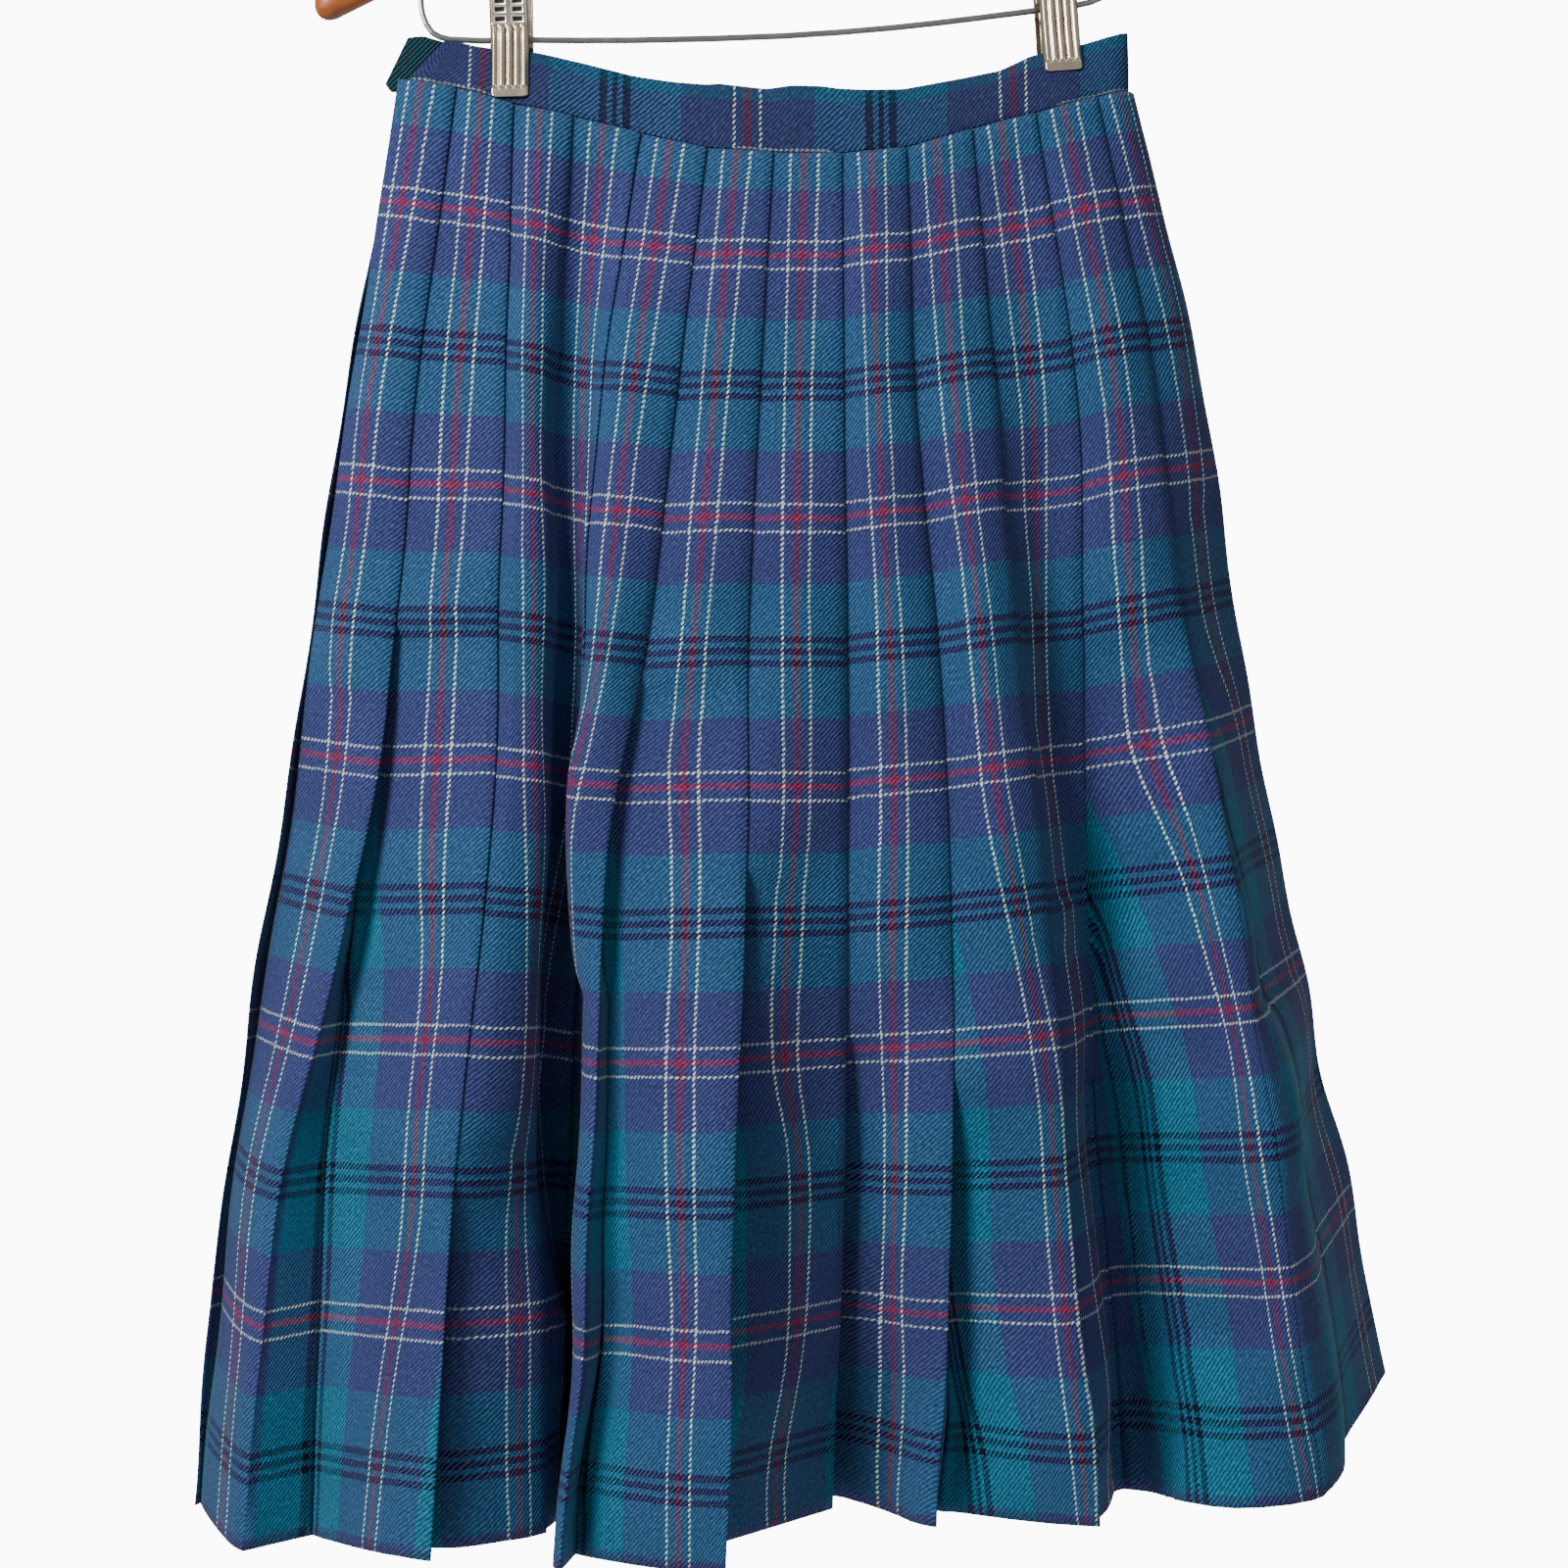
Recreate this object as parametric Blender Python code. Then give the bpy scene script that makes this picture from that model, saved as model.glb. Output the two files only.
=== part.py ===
"""Knife-pleated a-line skirt on a wooden clip hanger.

Metres, +Z up. The origin is the inside top of the hanger's hook. The skirt's
front faces -Y, and its side opening is at -X.
"""

import math

import bmesh
import bpy
import numpy as np
from mathutils import Matrix, Vector

# Cloth
SETT = 0.121             # one repeat of the tartan, and one whole pleat
WAIST_PITCH = 0.029      # what shows of a pleat at the waist seam
HIP_PITCH = 0.0486       # what shows of a pleat where its stitching ends
HIP_DROP = 0.225         # seam to the end of the stitching
TRIM = 0.90              # widest hidden part of a pleat, over what shows of it
HEIGHT = 0.628           # panel, seam to hem
WALL = 0.0010            # cloth of the panels
LAYER = 0.0016           # from one layer of a pressed pleat to the next
GAP = 0.0003             # between pieces that touch
BEND = 0.008             # softening of the rings' corners
RETURN = 0.016           # cloth turned in past the front panel's last fold

# Waistband
BAND_HEIGHT = 0.027
BAND_WALL = 0.0022
BAND_PINCH = 0.50        # depth of the band's top edge over that of its bottom
BAND_SETBACK = 0.0016    # middle of the band inside the outermost layer of the panels
SEAM_GAP = 0.0006        # between the band and the panels under it
BAND_START = 0.006       # its free end at the seam, past the front's first edge
BAND_SLANT = 0.017       # how far its free end leans over its height
BAND_END = 0.0225        # where the underlap's end takes over, short of the back's last fold
# Outline of the underlap's end, x and z in mm, and where it lies in y
TAB = ((-163.7, -191.9), (-156.5, -191.2), (-145.6, -194.4), (-145.6, -221.0), (-165.0, -217.2),
       (-171.5, -217.0), (-174.2, -213.4))
TAB_Y = (0.0018, 0.0038)

# Hanger
TILT = math.radians(3.0)
ARM_HALF = 0.215
ARM_DEPTH = 0.012
ARM_MIDDLE = (-0.082, 0.013)     # height of the middle line, half height of the wood
ARM_TIP = (-0.167, 0.0105)
HOOK_RADIUS = 0.020
HOOK_WIRE = 0.00175
HOOK_BORE = 0.00205
BAR_WIRE = 0.0014
BAR_BORE = 0.0017
BORE_DEPTH = 0.008
CLIP_WIDTH = 0.0195
CLIP_WALL = 0.0012
ROLL_RADIUS = 0.0034
ROLL_HALF = 0.0045
GRIP_RISE = 0.0030       # how far above the band's edge the jaws start to lie along it
# The wire bar from bore to bore, x and z in mm
BAR = ((-157.5, -153.6), (-157.5, -164.0), (-157.4, -173.0), (-156.5, -182.0), (-152.0, -190.5),
       (-144.0, -193.6), (-110.0, -193.9), (-60.0, -194.0), (9.5, -192.0), (60.0, -188.2),
       (100.0, -183.6), (135.0, -179.0), (150.0, -176.6), (159.0, -171.5), (163.0, -163.0),
       (163.5, -152.0), (163.5, -139.6))
# One row for each clip: name, x in mm, height of its lips in mm, lean in degrees
CLIPS = (
    ("left", -118.0, -220.5, 0.0),
    ("right", 136.0, -208.5, 6.0),
)

# Levels below the seam at which the panels' folds are placed
LEVELS = (0.0, 0.130, 0.225, 0.320, 0.460, 0.628)
ROWS = (0.0, 0.045, 0.090, 0.135, 0.180, 0.225, 0.270, 0.315, 0.360, 0.410, 0.460, 0.515, 0.570, 0.628)

# One row for each free fold edge of the front, from the side opening at -X to
# the right: x and y in mm at each level, z in mm at seam and hem, whether a
# short face bows out (1) or dips in (-1), the length of an opened lobe at the
# hem and how deep the hidden fold behind the edge hangs there, both in mm.
FRONT = (
    ((-167, -190, -205, -220, -244, -263), (-3, 2, 7, 12, 20, 22), (-217, -872), 1, 0, 0),
    ((-140, -158, -166, -179, -213, -234), (-9, -14, -16, -20, -26, -35), (-223, -877), 1, 0, 26),
    ((-114, -116, -119, -121, -133, -142), (-10, -19, -26, -36, -58, -75), (-230, -867), 1, 0, 22),
    ((-87, -96, -96, -97, -98, -95), (-12, -12, -12, -14, -24, -35), (-236, -868), 1, 0, 5),
    ((-56, -78, -82, -83, -89, -94), (-15, -25, -24, -14, 10, 30), (-243, -873), -1, 0, 5),
    ((-26, -41, -52, -69, -75, -88), (-18, -27, -34, -44, -58, -70), (-248, -873), 1, 0, 22),
    ((4, -3, -7, -7, -11, -14), (-20, -29, -38, -52, -74, -90), (-249, -868), 1, 0, 24),
    ((35, 36, 37, 37, 36, 31), (-20, -27, -30, -32, -20, 5), (-249, -868), 1, 0, 24),
    ((64, 68, 77, 82, 83, 76), (-18, -25, -30, -36, -44, -42), (-246, -863), 1, 0, 24),
    ((94, 105, 115, 126, 135, 149), (-15, -21, -24, -28, -40, -50), (-238, -860), 1, 0, 8),
    ((123, 142, 145, 147, 152, 167), (-12, -16, -20, -14, -4, -2), (-230, -862), -1, 0, 3),
    ((151, 177, 190, 207, 226, 248), (-10, -11, -12, -24, -40, -36), (-223, -851), 1, 112, 8),
    ((170, 204, 221, 240, 276, 314), (1, 14, 31, 52, 84, 110), (-218, -834), 1, 0, 0),
)

# The same for the back, seen from behind: x runs from the front's right to its left.
BACK = (
    ((-165, -199, -215, -233, -267, -303), (-7, -22, -40, -61, -94, -121), (-218, -834), 1, 0, 0),
    ((-139, -166, -180, -196, -224, -252), (-11, -30, -54, -80, -112, -142), (-222, -842), 1, 0, 20),
    ((-111, -132, -142, -152, -168, -186), (-13, -36, -62, -86, -120, -150), (-229, -850), 1, 0, 10),
    ((-83, -97, -103, -110, -120, -132), (-15, -36, -52, -64, -84, -104), (-236, -856), 1, 0, 8),
    ((-55, -62, -66, -70, -76, -84), (-17, -42, -64, -86, -122, -158), (-242, -862), 1, 0, 24),
    ((-27, -27, -26, -26, -24, -22), (-19, -46, -68, -90, -124, -158), (-247, -866), 1, 0, 22),
    ((1, 9, 13, 18, 26, 36), (-19, -42, -56, -70, -90, -102), (-249, -866), 1, 0, 8),
    ((29, 46, 54, 62, 74, 88), (-18, -42, -62, -86, -120, -148), (-247, -868), 1, 0, 22),
    ((57, 80, 92, 103, 118, 136), (-16, -38, -58, -80, -112, -138), (-242, -870), 1, 0, 10),
    ((85, 112, 124, 136, 154, 172), (-14, -32, -46, -60, -82, -102), (-236, -871), 1, 0, 8),
    ((113, 142, 155, 168, 188, 208), (-12, -26, -38, -50, -72, -90), (-230, -872), 1, 0, 8),
    ((141, 170, 184, 198, 220, 240), (-10, -18, -27, -38, -52, -64), (-223, -873), 1, 0, 8),
    ((166, 192, 207, 222, 247, 266), (-3, -9, -14, -19, -27, -30), (-218, -872), 1, 0, 0),
)

STRAIGHT = (-0.015, 0.0) # how far back a hidden fold lies when its legs bend, and when they run straight
STEP = 0.0020            # a hidden fold less than this behind its free edge counts as open
CLEAR = 0.008            # least distance between the stations of a leg that end on other layers
SAMPLES = 1200           # points along a ring's smoothed line
SPLINE_STEPS = 24        # points between two guide points before smoothing


def remove_old_objects():
    for old in list(bpy.data.objects):
        bpy.data.objects.remove(old, do_unlink=True)


def finish_material(name, colour, roughness, metallic):
    material = bpy.data.materials.new(name)
    material.use_nodes = True
    shader = material.node_tree.nodes["Principled BSDF"]
    shader.inputs["Base Color"].default_value = (*colour, 1.0)
    shader.inputs["Roughness"].default_value = roughness
    shader.inputs["Metallic"].default_value = metallic
    return material


def make_object(name, bm, material, smooth=True):
    bmesh.ops.recalc_face_normals(bm, faces=bm.faces)
    mesh = bpy.data.meshes.new(name)
    bm.to_mesh(mesh)
    bm.free()
    if smooth:
        mesh.shade_smooth()
        mesh.set_sharp_from_angle(angle=math.radians(40))
    mesh.materials.append(material)
    thing = bpy.data.objects.new(name, mesh)
    bpy.context.scene.collection.objects.link(thing)
    return thing


def ease(low, high, value):
    t = min(max((value - low) / (high - low), 0.0), 1.0)
    return t * t * (3 - 2 * t)


def at_level(values, drop):
    """Smooth value between the levels' own values."""
    k = 0
    while k < len(LEVELS) - 2 and drop > LEVELS[k + 1]:
        k += 1

    def slope(j):
        low = max(j - 1, 0)
        high = min(j + 1, len(LEVELS) - 1)
        return (values[high] - values[low]) / (LEVELS[high] - LEVELS[low])

    span = LEVELS[k + 1] - LEVELS[k]
    t = (drop - LEVELS[k]) / span
    return ((2 * t ** 3 - 3 * t ** 2 + 1) * values[k]
            + (t ** 3 - 2 * t ** 2 + t) * slope(k) * span
            + (3 * t ** 2 - 2 * t ** 3) * values[k + 1]
            + (t ** 3 - t ** 2) * slope(k + 1) * span)


def spline(points, steps):
    """Centripetal Catmull-Rom curve through the points."""
    points = np.array(points, float)
    ends = np.vstack([2 * points[0] - points[1], points, 2 * points[-1] - points[-2]])
    out = []
    for i in range(len(points) - 1):
        p = ends[i:i + 4]
        t = [0.0]
        for a, b in zip(p[:-1], p[1:]):
            t.append(t[-1] + np.linalg.norm(b - a) ** 0.5)
        for k in range(steps):
            u = t[1] + (t[2] - t[1]) * k / steps
            a1 = ((t[1] - u) * p[0] + (u - t[0]) * p[1]) / (t[1] - t[0])
            a2 = ((t[2] - u) * p[1] + (u - t[1]) * p[2]) / (t[2] - t[1])
            a3 = ((t[3] - u) * p[2] + (u - t[2]) * p[3]) / (t[3] - t[2])
            b1 = ((t[2] - u) * a1 + (u - t[0]) * a2) / (t[2] - t[0])
            b2 = ((t[3] - u) * a2 + (u - t[1]) * a3) / (t[3] - t[1])
            out.append(((t[2] - u) * b1 + (u - t[1]) * b2) / (t[2] - t[1]))
    out.append(points[-1])
    return np.array(out)


def arc_lengths(line):
    return np.concatenate([[0.0], np.cumsum(np.linalg.norm(np.diff(line, axis=0), axis=1))])


def soften(line, width):
    """The line at even steps, its corners rounded over about the given width."""
    arc = arc_lengths(line)
    even = np.linspace(0.0, arc[-1], SAMPLES)
    step = even[1]
    half = int(3 * width / step)
    kernel = np.exp(-0.5 * (np.arange(-half, half + 1) * step / width) ** 2)
    kernel /= kernel.sum()
    columns = []
    for axis in range(2):
        values = np.interp(even, arc, line[:, axis])
        before = 2 * values[0] - values[1:half + 1][::-1]
        after = 2 * values[-1] - values[-half - 1:-1][::-1]
        columns.append(np.convolve(np.concatenate([before, values, after]), kernel, "valid"))
    return np.stack(columns, 1), arc, even


def pitch_at(drop):
    return WAIST_PITCH + (HIP_PITCH - WAIST_PITCH) * min(drop / HIP_DROP, 1.0)


class Ring:
    """The line that a panel's pleats lie on, at one drop below the seam."""

    def __init__(self, table, drop):
        self.pitch = pitch_at(drop)
        self.under = min((SETT - self.pitch) / 2, TRIM * self.pitch)
        edges = [np.array((at_level(row[0], drop), at_level(row[1], drop))) / 1000 for row in table]
        opened = min(max((drop - HIP_DROP) / (HEIGHT - HIP_DROP), 0.0), 1.0)
        guide = [edges[0]]
        for row, a, b in zip(table[1:], edges[:-1], edges[1:]):
            chord = b - a
            length = np.linalg.norm(chord)
            wanted = max(self.pitch, row[4] / 1000 * opened)
            bow = 0.42 * math.sqrt(max(wanted ** 2 - length ** 2, 0.0)) * row[3]
            guide.append((a + b) / 2 + bow * np.array((chord[1], -chord[0])) / length)
            guide.append(b)
        rough = spline(guide, SPLINE_STEPS)
        self.line, old_arc, even = soften(rough, BEND)
        self.arc = arc_lengths(self.line)
        self.folds = np.interp(old_arc[::2 * SPLINE_STEPS], even, self.arc)
        self.freedom = min(max((drop - 0.9 * HIP_DROP) / (HEIGHT - 0.9 * HIP_DROP), 0.0), 1.0)

    def place(self, along, inward):
        """Points at arc lengths along the ring, moved inward."""
        along = np.asarray(along, float)
        inside = np.clip(along, 0.0, self.arc[-1])
        reach = 0.004
        middle = np.clip(inside, reach, self.arc[-1] - reach)
        out = []
        tangent = []
        for axis in range(2):
            column = self.line[:, axis]
            out.append(np.interp(inside, self.arc, column))
            tangent.append(np.interp(middle + reach, self.arc, column)
                           - np.interp(middle - reach, self.arc, column))
        length = np.hypot(*tangent)
        tx = tangent[0] / length
        ty = tangent[1] / length
        past = along - inside
        return np.stack([out[0] + past * tx - ty * inward, out[1] + past * ty + tx * inward], -1)


def hidden_folds(ring, table):
    """Place along the ring, depth and straightness of the hidden fold behind each free edge."""
    hidden = []
    folds = ring.folds
    before = folds[0]
    for i in range(1, len(table) - 1):
        under = min(ring.under, TRIM * (folds[i] - before))
        spread = max(folds[i + 1] - folds[i], ring.pitch)
        along = (spread ** 2 + under ** 2 - (ring.pitch + under) ** 2) / (2 * spread)
        depth = math.sqrt(max(under ** 2 - along ** 2, 0.0))
        depth = max(min(depth, table[i][5] / 1000 * ring.freedom ** 0.5), LAYER)
        straight = ease(0.008, 0.018, depth) * ease(STRAIGHT[0], STRAIGHT[1], along)
        hidden.append((folds[i] + along, depth, straight))
        before = max(folds[i], folds[i] + along)
    return hidden


def blend(bent, straight, share):
    return bent * (1 - share) + straight * share


def turned_over(before, fold, side):
    """One layer off the end of a leg, square to its last step."""
    way = (fold - before) / np.linalg.norm(fold - before)
    return fold + side * LAYER * np.array((-way[1], way[0]))


def return_leg(ring, face, i, place, depth, share):
    """From a free edge back under its face to the hidden fold: three points."""
    middle = (place + ring.folds[i]) / 2
    bent = [turned_over(face[-2], face[-1], 1.0)]
    for k, (along, inward) in enumerate(((middle, (LAYER + depth) / 2), (place, depth)), start=1):
        outer = face[-1 - k] if place < ring.folds[i] - STEP else ring.place(along, 0.0)
        bent.append(outer + ring.place(along, inward) - ring.place(along, 0.0))
    edge = ring.place(ring.folds[i], 0.0)
    chord = ring.place(ring.folds[i + 1], 0.0) - edge
    size = np.linalg.norm(chord)
    spread = max(ring.folds[i + 1] - ring.folds[i], ring.pitch)
    inward = np.array((-chord[1], chord[0])) / size
    across = edge + chord / spread * (place - ring.folds[i]) + inward * depth
    end = blend(bent[2], across, share)
    return [bent[0], blend(bent[1], (bent[0] + end) / 2, share), end]


def face_leg(ring, back, i, here, after):
    """From the hidden fold under the free edge and on to the next one: seven points."""
    place, depth, share = here
    near, far = ring.folds[i], ring.folds[i + 1]
    passed = max(near, place + CLEAR)
    tuck = min(max(after, passed + CLEAR), far - CLEAR)
    stations = (place, (place + passed) / 2, passed, (passed + tuck) / 2, tuck, (tuck + far) / 2, far)
    bent = []
    for k, along in enumerate(stations):
        sunk = (depth + LAYER) * (far - along) / (far - place)
        if along >= near:
            sunk = max(sunk, 2 * LAYER * (far - along) / (far - near))
        if k < 2 and place < near - STEP:
            bent.append(back[2 - k] + ring.place(along, LAYER) - ring.place(along, 0.0))
        else:
            bent.append(ring.place(along, sunk))
    start = turned_over(back[1], back[2], -1.0)
    bent[0] = start
    line = []
    for along, point in zip(stations, bent):
        t = (along - place) / (far - place)
        line.append(blend(point, start * (1 - t) + bent[-1] * t, share))
    return line, list(stations)


def pleated_line(table, drop, last_return):
    """Middle line of a panel's wall at one drop, and each point's place along the ring."""
    ring = Ring(table, drop)
    hidden = hidden_folds(ring, table)
    folds = ring.folds
    tuck = min(hidden[0][0], folds[1] - CLEAR)
    places = [folds[0], (folds[0] + tuck) / 2, tuck, (tuck + folds[1]) / 2, folds[1]]
    line = [ring.place(along, 0.0) for along in places]
    for i, (place, depth, share) in enumerate(hidden, start=1):
        back = return_leg(ring, line, i, place, depth, share)
        after = hidden[i][0] if i < len(hidden) else folds[-1] - RETURN
        face, stations = face_leg(ring, back, i, hidden[i - 1], after)
        line += back + face
        places += [folds[i], (folds[i] + place) / 2, place] + stations
    if last_return:
        for k, along in enumerate((folds[-1], places[-2], places[-3])):
            line.append(line[-1 - 2 * k] + ring.place(along, LAYER) - ring.place(along, 0.0))
            places.append(along)
    return ring, np.array(line), np.array(places)


def side_shift(line):
    """Unit normals of a line's points, longer at its corners."""
    way = np.diff(line, axis=0)
    way /= np.linalg.norm(way, axis=1)[:, None]
    normal = np.stack([way[:, 1], -way[:, 0]], 1)
    first = np.vstack([normal[:1], normal])
    second = np.vstack([normal, normal[-1:]])
    both = first + second
    size = np.linalg.norm(both, axis=1)
    both /= size[:, None]
    stretch = 1 / np.maximum(size / 2, 0.6)
    return both * stretch[:, None]


def seam_height(table, x):
    """Height of the waist seam at an x, both in metres, in the panel's own frame."""
    return np.interp(x, [row[0][0] / 1000 for row in table], [row[2][0] / 1000 for row in table])


def leg_runs(count):
    """For each step of a pleated line, whether it runs along the ring or back under a face."""
    runs = [True] * 4
    while len(runs) < count - 1:
        runs += [False] * 3 + [True] * 7
    return runs[:count - 1]


def two_triangles(bm, a, b, c, d, run):
    """A quad as two triangles, split the same way in all the layers that lie on each other."""
    if run:
        bm.faces.new((a, b, c))
        bm.faces.new((a, c, d))
    else:
        bm.faces.new((a, b, d))
        bm.faces.new((b, c, d))


def pleated_panel(name, table, turned, last_return, material):
    """A wall through the pleated rings at all rows, closed along its four edges."""
    tops = [row[2][0] / 1000 for row in table]
    hems = [row[2][1] / 1000 for row in table]
    sign = -1.0 if turned else 1.0
    bm = bmesh.new()
    grid = []
    for drop in ROWS:
        ring, line, places = pleated_line(table, drop, last_return)
        shift = side_shift(line) * WALL / 2
        top = seam_height(table, line[:, 0]) if drop == 0 else np.interp(places, ring.folds, tops)
        hem = np.interp(places, ring.folds, hems)
        height = top + (hem - top) * drop / HEIGHT
        layer = []
        for side in (1.0, -1.0):
            wall = line + side * shift
            layer.append([bm.verts.new((sign * x, sign * y, z)) for (x, y), z in zip(wall, height)])
        grid.append(layer)
    runs = leg_runs(len(grid[0][0]))
    for upper, lower in zip(grid[:-1], grid[1:]):
        for a, b in zip(upper, lower):
            for k, run in enumerate(runs):
                two_triangles(bm, a[k], b[k], b[k + 1], a[k + 1], run)
        for k in (0, -1):
            two_triangles(bm, upper[0][k], lower[0][k], lower[1][k], upper[1][k], True)
    for outside, inside in (grid[0], grid[-1]):
        for k, run in enumerate(runs):
            two_triangles(bm, outside[k], outside[k + 1], inside[k + 1], inside[k], run)
    return make_object(name, bm, material)


def band_middle(ring, along, level):
    """Plan point of the band's middle line, seen in its own panel's frame."""
    x, y = ring.place(along, BAND_SETBACK)
    return float(x), float(y) * (1.0 - (1.0 - BAND_PINCH) * level)


def band_row(level):
    """The band's middle line at a level of its height: 0 is the seam, 1 the top edge."""
    row = []
    for table, sign, first, last in ((FRONT, 1.0, BAND_START, 0.004), (BACK, -1.0, 0.010, BAND_END)):
        ring = Ring(table, 0.0)
        places = [ring.folds[0] + first, *ring.folds[1:-1], ring.folds[-1] - last]
        places += [(a + b) / 2 for a, b in zip(places[:-1], places[1:])]
        if table is FRONT:
            places[0] += BAND_SLANT * level
            places[13] += BAND_SLANT * level / 2
        for along in sorted(places):
            x, y = band_middle(ring, along, level)
            row.append((sign * x, sign * y, seam_height(table, x) + SEAM_GAP + BAND_HEIGHT * level))
    return np.array(row)


def waistband(material):
    """One strip from the side opening round the front, the right side and the back."""
    bm = bmesh.new()
    grid = []
    for level in (0.0, 0.5, 1.0):
        row = band_row(level)
        shift = side_shift(row[:, :2]) * BAND_WALL / 2
        outside = [bm.verts.new((x + dx, y + dy, z)) for (x, y, z), (dx, dy) in zip(row, shift)]
        inside = [bm.verts.new((x - dx, y - dy, z)) for (x, y, z), (dx, dy) in zip(row, shift)]
        grid.append(outside + inside[::-1])
    count = len(grid[0])
    for lower, upper in zip(grid[:-1], grid[1:]):
        for k in range(count):
            n = (k + 1) % count
            bm.faces.new((lower[k], lower[n], upper[n], upper[k]))
    for ends in (grid[0], grid[-1]):
        for k in range(count // 2 - 1):
            bm.faces.new((ends[k], ends[k + 1], ends[count - 2 - k], ends[count - 1 - k]))
    return make_object("waistband", bm, material)


def band_face(x, lips, back):
    """The band's outside behind a clip: its reach in y at its top and at the clip's lips."""
    table = BACK if back else FRONT
    ring = Ring(table, 0.0)
    seek = -x if back else x
    along = float(np.interp(seek, ring.line[:, 0], ring.arc))
    reach = [0.0, 0.0]
    for step in np.linspace(-0.012, 0.012, 9):
        seam = seam_height(table, seek + step) + SEAM_GAP
        for k, level in enumerate((1.0, (lips - seam) / BAND_HEIGHT)):
            y = band_middle(ring, along + step, level)[1]
            reach[k] = max(reach[k], abs(y) + BAND_WALL / 2)
    return reach, seam_height(table, seek) + SEAM_GAP + BAND_HEIGHT


def plate(name, outline, depth_from, depth_to, material):
    """A flat piece with an outline in X and Z, between two depths."""
    bm = bmesh.new()
    verts = [bm.verts.new((x, depth_from, z)) for x, z in outline]
    face = bm.faces.new(verts)
    grown = bmesh.ops.extrude_face_region(bm, geom=[face])
    moved = [v for v in grown["geom"] if isinstance(v, bmesh.types.BMVert)]
    bmesh.ops.translate(bm, verts=moved, vec=(0.0, depth_to - depth_from, 0.0))
    return make_object(name, bm, material, smooth=False)


def tube(name, path, radius, sides, material):
    """A wire along a smooth path of points."""
    bm = bmesh.new()
    rings = []
    path = [Vector(p) for p in path]
    for i, point in enumerate(path):
        way = (path[min(i + 1, len(path) - 1)] - path[max(i - 1, 0)]).normalized()
        side = Vector((0.0, 1.0, 0.0))
        up = side.cross(way).normalized()
        rings.append([bm.verts.new(point + radius * (side * math.cos(a) + up * math.sin(a)))
                      for a in [2 * math.pi * k / sides for k in range(sides)]])
    for a, b in zip(rings[:-1], rings[1:]):
        for k in range(sides):
            bm.faces.new((a[k], a[(k + 1) % sides], b[(k + 1) % sides], b[k]))
    bm.faces.new(rings[0])
    bm.faces.new(rings[-1])
    return make_object(name, bm, material)


def tilted(x, z):
    """A place on the level hanger, turned with its tilt about the hook."""
    return (x * math.cos(TILT) - z * math.sin(TILT), x * math.sin(TILT) + z * math.cos(TILT))


def arm_middle(x):
    """Middle line and half height of the wood at a distance along the arm."""
    t = (abs(x) / ARM_HALF) ** 1.15
    return (ARM_MIDDLE[0] + (ARM_TIP[0] - ARM_MIDDLE[0]) * t,
            ARM_MIDDLE[1] + (ARM_TIP[1] - ARM_MIDDLE[1]) * t)


def bore(name, x, z, angle, radius, depth):
    """A cutter along a wire's end."""
    bm = bmesh.new()
    bmesh.ops.create_cone(bm, cap_ends=True, segments=12, radius1=radius, radius2=radius, depth=2 * depth)
    mesh = bpy.data.meshes.new(name)
    bm.to_mesh(mesh)
    bm.free()
    cutter = bpy.data.objects.new(name, mesh)
    bpy.context.scene.collection.objects.link(cutter)
    cutter.location = (x, 0.0, z)
    cutter.rotation_euler = (0.0, angle, 0.0)
    cutter.hide_render = True
    cutter.display_type = "WIRE"
    return cutter


def wooden_arm(material, ends):
    """The shaped wooden bar, with bores for the hook and for the wire's two ends."""
    sides = 12
    stations = 22
    bm = bmesh.new()
    rings = []
    for i in range(stations + 1):
        x = -ARM_HALF * math.cos(math.pi * i / stations)
        middle, half = arm_middle(x)
        close = max(1.0 - ((abs(x) - (ARM_HALF - ARM_TIP[1])) / ARM_TIP[1]) ** 2, 0.03) ** 0.5
        close = close if abs(x) > ARM_HALF - ARM_TIP[1] else 1.0
        ring = []
        for k in range(sides):
            a = 2 * math.pi * (k + 0.5) / sides
            round_y = math.copysign(abs(math.cos(a)) ** 0.75, math.cos(a))
            round_z = math.copysign(abs(math.sin(a)) ** 0.75, math.sin(a))
            px, pz = tilted(x, middle + half * close * round_z)
            ring.append(bm.verts.new((px, ARM_DEPTH / 2 * close * round_y, pz)))
        rings.append(ring)
    for a, b in zip(rings[:-1], rings[1:]):
        for k in range(sides):
            bm.faces.new((a[k], a[(k + 1) % sides], b[(k + 1) % sides], b[k]))
    bm.faces.new(rings[0])
    bm.faces.new(rings[-1])
    arm = make_object("wooden_arm", bm, material)
    for i, (x, z, angle, radius) in enumerate(ends):
        cut = arm.modifiers.new("bore %d" % i, "BOOLEAN")
        cut.operation = "DIFFERENCE"
        cut.object = bore("cutter_%d" % i, x, z, angle, radius, BORE_DEPTH)
    return arm


def hook_path():
    """Shank up from the wood, then round the circle that takes the rail."""
    centre = HOOK_WIRE - HOOK_RADIUS
    top = ARM_MIDDLE[0] + ARM_MIDDLE[1]
    foot = top - BORE_DEPTH + GAP
    points = [(0.0, foot), (0.0, top + 0.004), (0.0, -0.057), (0.0025, -0.048), (0.0095, -0.0405),
              (0.0165, -0.0315)]
    for k in range(13):
        a = math.radians(-10.0 + 220.0 * k / 12)
        points.append((HOOK_RADIUS * math.cos(a), centre + HOOK_RADIUS * math.sin(a)))
    line = spline(points, 2)
    return [(tilted(x, z)[0], 0.0, tilted(x, z)[1]) for x, z in line]


def bar_height(x):
    places = [p[0] for p in BAR]
    heights = [p[1] for p in BAR]
    inner = slice(6, -5)
    return float(np.interp(x * 1000, places[inner], heights[inner])) / 1000


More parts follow.
